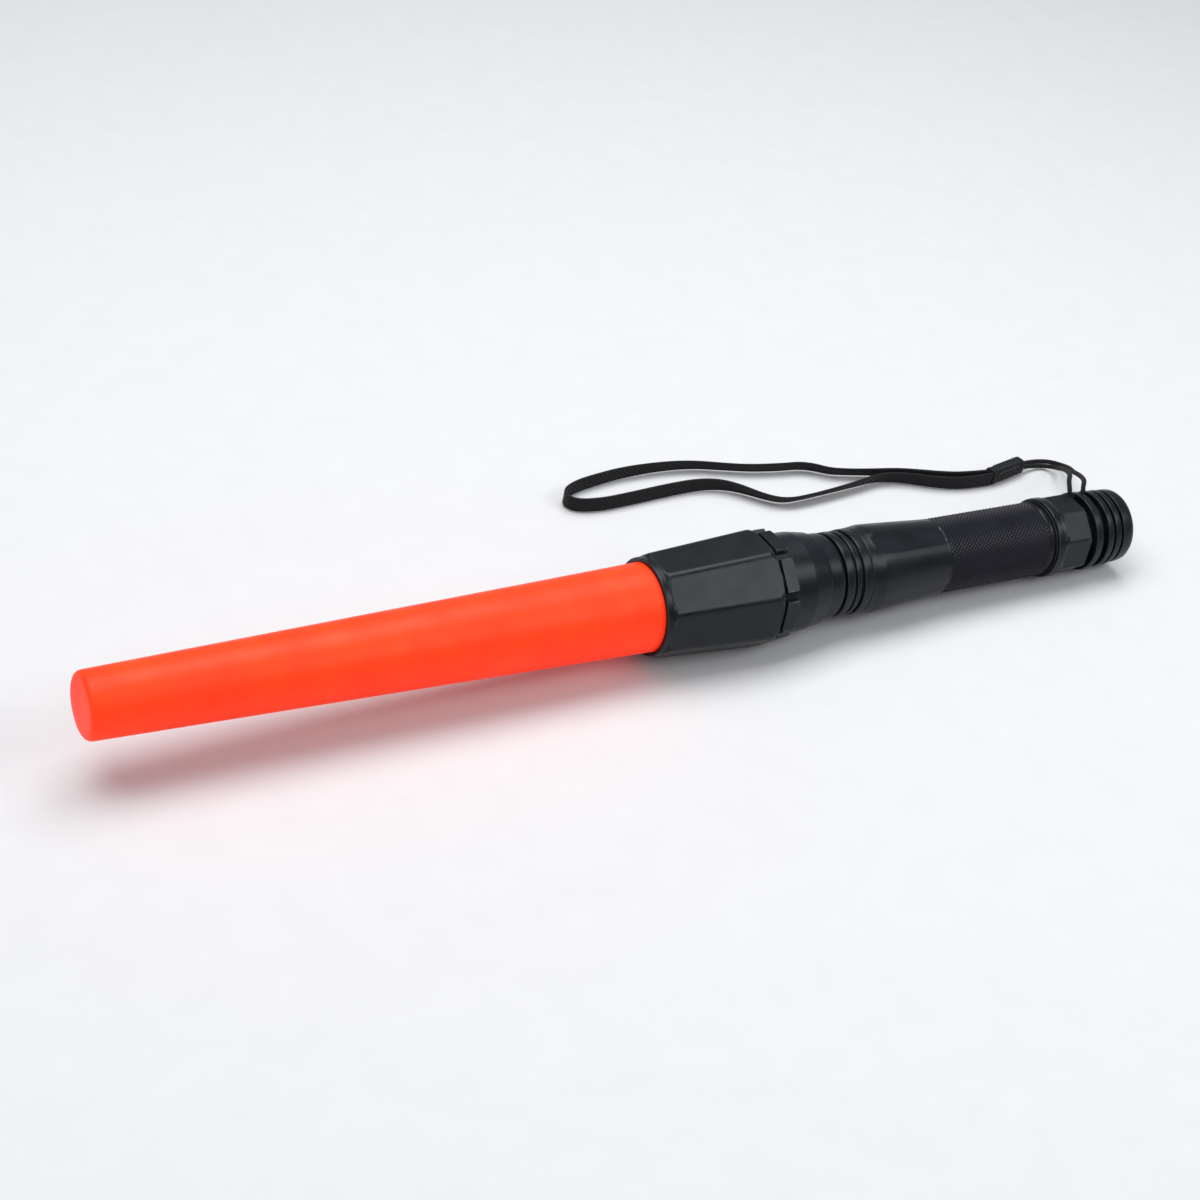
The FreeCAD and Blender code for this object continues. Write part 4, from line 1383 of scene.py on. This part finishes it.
    def tab_mesh(self) -> Piece:
        """The sewn tab: tape folded over the strap's ends and pinched where it is stitched."""
        long, wide, high = (size / 2 - 0.1 for size in self.tab_size)
        rows, around = 40, 36
        turn = np.arange(around) * math.tau / around
        across, upward = squared(turn, 0.5)
        station = np.linspace(-1, 1, rows)
        pinch = 1 - 0.1 * np.exp(-((np.abs(station) - 0.62) / 0.1) ** 2)
        close = np.sqrt(np.clip(1 - np.clip((np.abs(station) - 0.93) / 0.09, 0, 1) ** 2, 0.3, 1))
        points = np.stack([
            np.repeat(station[:, None] * long, around, axis=1),
            (pinch * close)[:, None] * across * wide,
            (0.96 * pinch * close)[:, None] * upward * high], axis=-1).reshape(-1, 3) * MM
        frame_now = np.array(self.tab_frame())
        points = points @ frame_now[:3, :3].T + frame_now[:3, 3]
        faces = ring_faces(rows, around) + end_caps(rows, around)
        tab = mesh_piece("sewn_tab", points, faces, 50.0)
        weave = tab.data.uv_layers.new(name=WEAVE_UV)
        inverse = self.tab_frame().inverted()
        for face in tab.data.polygons:
            middle = inverse.to_3x3() @ face.normal
            for corner, vertex in zip(face.loop_indices, face.vertices):
                local = inverse @ tab.data.vertices[vertex].co / MM
                across_mm = local.y if abs(middle.z) > abs(middle.y) else local.z
                weave.data[corner].uv = (across_mm, local.x)
        return tab

    def stitch_line(self) -> bpy.types.Mesh:
        """The stitches' path: a box on the tab's top and on each of its long sides."""
        long, wide, high = (size / 2 for size in self.tab_size)
        a, b = self.stitch_box
        box = [(-a, -b), (a, -b), (a, b), (-a, b)]
        points, edges = [], []
        for face in ("top", "front", "back"):
            base = len(points)
            for u, v in box:
                if face == "top":
                    points.append((u * long, v * wide, high * self.stitch_sink[0]))
                else:
                    side = -1 if face == "front" else 1
                    points.append((u * long, side * wide * self.stitch_sink[1], v * high))
            edges += [(base, base + 1), (base + 1, base + 2), (base + 2, base + 3), (base + 3, base)]
        mesh = bpy.data.meshes.new("stitch_line")
        mesh.from_pydata([tuple(Vector(p) * MM) for p in points], edges, [])
        mesh.transform(self.tab_frame())
        return mesh

    def build(self) -> None:
        tab = self.fit(self.tab_mesh(), NYLON_TAPE, "webbing", "lanyard_tab")
        seam = Stitching(1.5, 0.42).build("tab_stitches", self.stitch_line(), STITCH_YARN)
        self.fit(seam, STITCH_YARN, "cord_black")
        _, strap_line = smooth_line("strap_route", self.STRAP_ROUTE)
        strap = self.fit(self.strap_mesh(strap_line), NYLON_TAPE, "webbing", "lanyard_strap")
        line, cord_line = smooth_line("cord_route", self.CORD_ROUTE)
        braid = Braid(8, 5.2, 0.56, 0.26, 0.08)
        cord = braid.build("braided_cord", line, NYLON_YARN)
        core = self.cord_core(cord_line)
        cord = joined([cord, core], "braided_cord")
        self.fit(cord, NYLON_YARN, "cord_black", "lanyard_cord")

    def cord_core(self, line: np.ndarray) -> Piece:
        """The plain core inside the braid, which closes the gaps between its strands."""
        points = evenly(line, self.core_r * MM)
        tangent = np.gradient(points, axis=0)
        tangent /= np.linalg.norm(tangent, axis=1)[:, None]
        side = np.cross(tangent, np.array([0.3, -0.5, 0.81]))
        side /= np.linalg.norm(side, axis=1)[:, None]
        up = np.cross(tangent, side)
        around = 10
        turn = np.arange(around) * math.tau / around
        rings = points[:, None, :] + self.core_r * MM * (
            side[:, None, :] * np.cos(turn)[None, :, None] + up[:, None, :] * np.sin(turn)[None, :, None])
        faces = ring_faces(len(points), around) + end_caps(len(points), around)
        core = mesh_piece("cord_core", rings.reshape(-1, 3), faces, 60.0)
        core.data.materials.append(NYLON_YARN.build())
        return core


# ---- studio --------------------------------------------------------------------------------------

class Softbox(Enum):
    """The studio's area lights: where each stands, what it is turned to, its sides and its power."""

    OVERHEAD = ((-0.05, 0.2, 0.95), (0.0, 0.0, 0.0), (1.4, 0.6), 13.0)
    FRONT_LEFT = ((-0.8, -0.9, 1.0), (0.0, 0.0, 0.0), (0.6, 0.6), 2.5)
    FRONT_RIGHT = ((0.52, -0.58, 0.7), (0.05, 0.0, 0.0), (0.75, 0.35), 3.8)


@dataclass
class Studio:
    """The pale floor, the soft lights and the camera.

    The camera stands off the torch's axis: foot_x is the nearest station on the axis, distance is how
    far off it is, swing_deg lifts it from the -Y side, and aim_deg turns it along the axis.
    """

    foot_x: float = -373.9
    distance: float = 674.6
    swing_deg: float = 39.0
    aim_deg: float = 27.5
    roll_deg: float = 8.45
    focal_mm: float = 74.83
    shift: tuple[float, float] = (0.0182, 0.0155)
    floor_half: float = 3.0
    room_colour: str = "#F4F6FA"
    room_strength: float = 0.36

    def lay_floor(self) -> None:
        """Lays a level floor, wide enough to fill the camera's view."""
        steps = 24
        side = np.linspace(-self.floor_half, self.floor_half, steps)
        points = np.array([(x, y, -0.0002) for y in side for x in side])
        faces = [[i * steps + j, i * steps + j + 1, (i + 1) * steps + j + 1, (i + 1) * steps + j]
                 for i in range(steps - 1) for j in range(steps - 1)]
        floor = mesh_piece("studio_floor", points, faces, 30.0)
        if floor.data.polygons[0].normal.z < 0:
            floor.data.flip_normals()
        floor.data.materials.append(FLOOR_PAINT.build())

    def hang_lights(self) -> None:
        """Hangs the softboxes and lights the room evenly."""
        for box in Softbox:
            place, target, sides, power = box.value
            light = bpy.data.lights.new(box.name.lower() + "_softbox", "AREA")
            light.shape = "RECTANGLE"
            light.size, light.size_y = sides
            light.energy = power
            lamp = put_in_scene(light.name, light)
            lamp.location = place
            lamp.rotation_mode = "QUATERNION"
            lamp.rotation_quaternion = (Vector(target) - Vector(place)).to_track_quat("-Z", "Y")
        world = bpy.data.worlds.new("white_room")
        world.use_nodes = True
        air = world.node_tree.nodes["Background"]
        air.inputs["Color"].default_value = linear(self.room_colour)
        air.inputs["Strength"].default_value = self.room_strength
        bpy.context.scene.world = world

    def stand_camera(self) -> None:
        """Stands the camera in front of the tip, turned along the baton and rolled a little."""
        swing = math.radians(self.swing_deg)
        foot = AXIS.place(self.foot_x)
        up = AXIS.matrix.col[2].to_3d()
        place = foot + self.distance * MM * (up * math.sin(swing) - Vector((0, 1, 0)) * math.cos(swing))
        target = AXIS.place(self.foot_x + self.distance * math.tan(math.radians(self.aim_deg)))
        lens = bpy.data.cameras.new("studio_camera")
        lens.lens = self.focal_mm
        lens.sensor_width = 36.0
        lens.shift_x, lens.shift_y = self.shift
        lens.clip_start, lens.clip_end = 0.01, 20.0
        camera = put_in_scene("studio_camera", lens)
        look = (target - place).to_track_quat("-Z", "Y").to_matrix().to_4x4()
        roll = Matrix.Rotation(math.radians(self.roll_deg), 4, "Z")
        camera.matrix_world = Matrix.Translation(place) @ look @ roll
        bpy.context.scene.camera = camera

    def build(self) -> None:
        """Sets up the whole studio."""
        self.stand_camera()
        self.lay_floor()
        self.hang_lights()
        bpy.context.scene.view_settings.view_transform = "Standard"


def main() -> None:
    """Builds the studio and the baton."""
    logging.basicConfig(level=logging.INFO, format="%(name)s: %(message)s", force=True)
    Studio().build()
    for part in (Lanyard("tail"), SignalCone("cone"), SlidingHead("head"), Barrel("barrel"),
                 TailCap("tail")):
        part.build()
    bpy.context.view_layer.update()


if __name__ == "__main__":
    main()
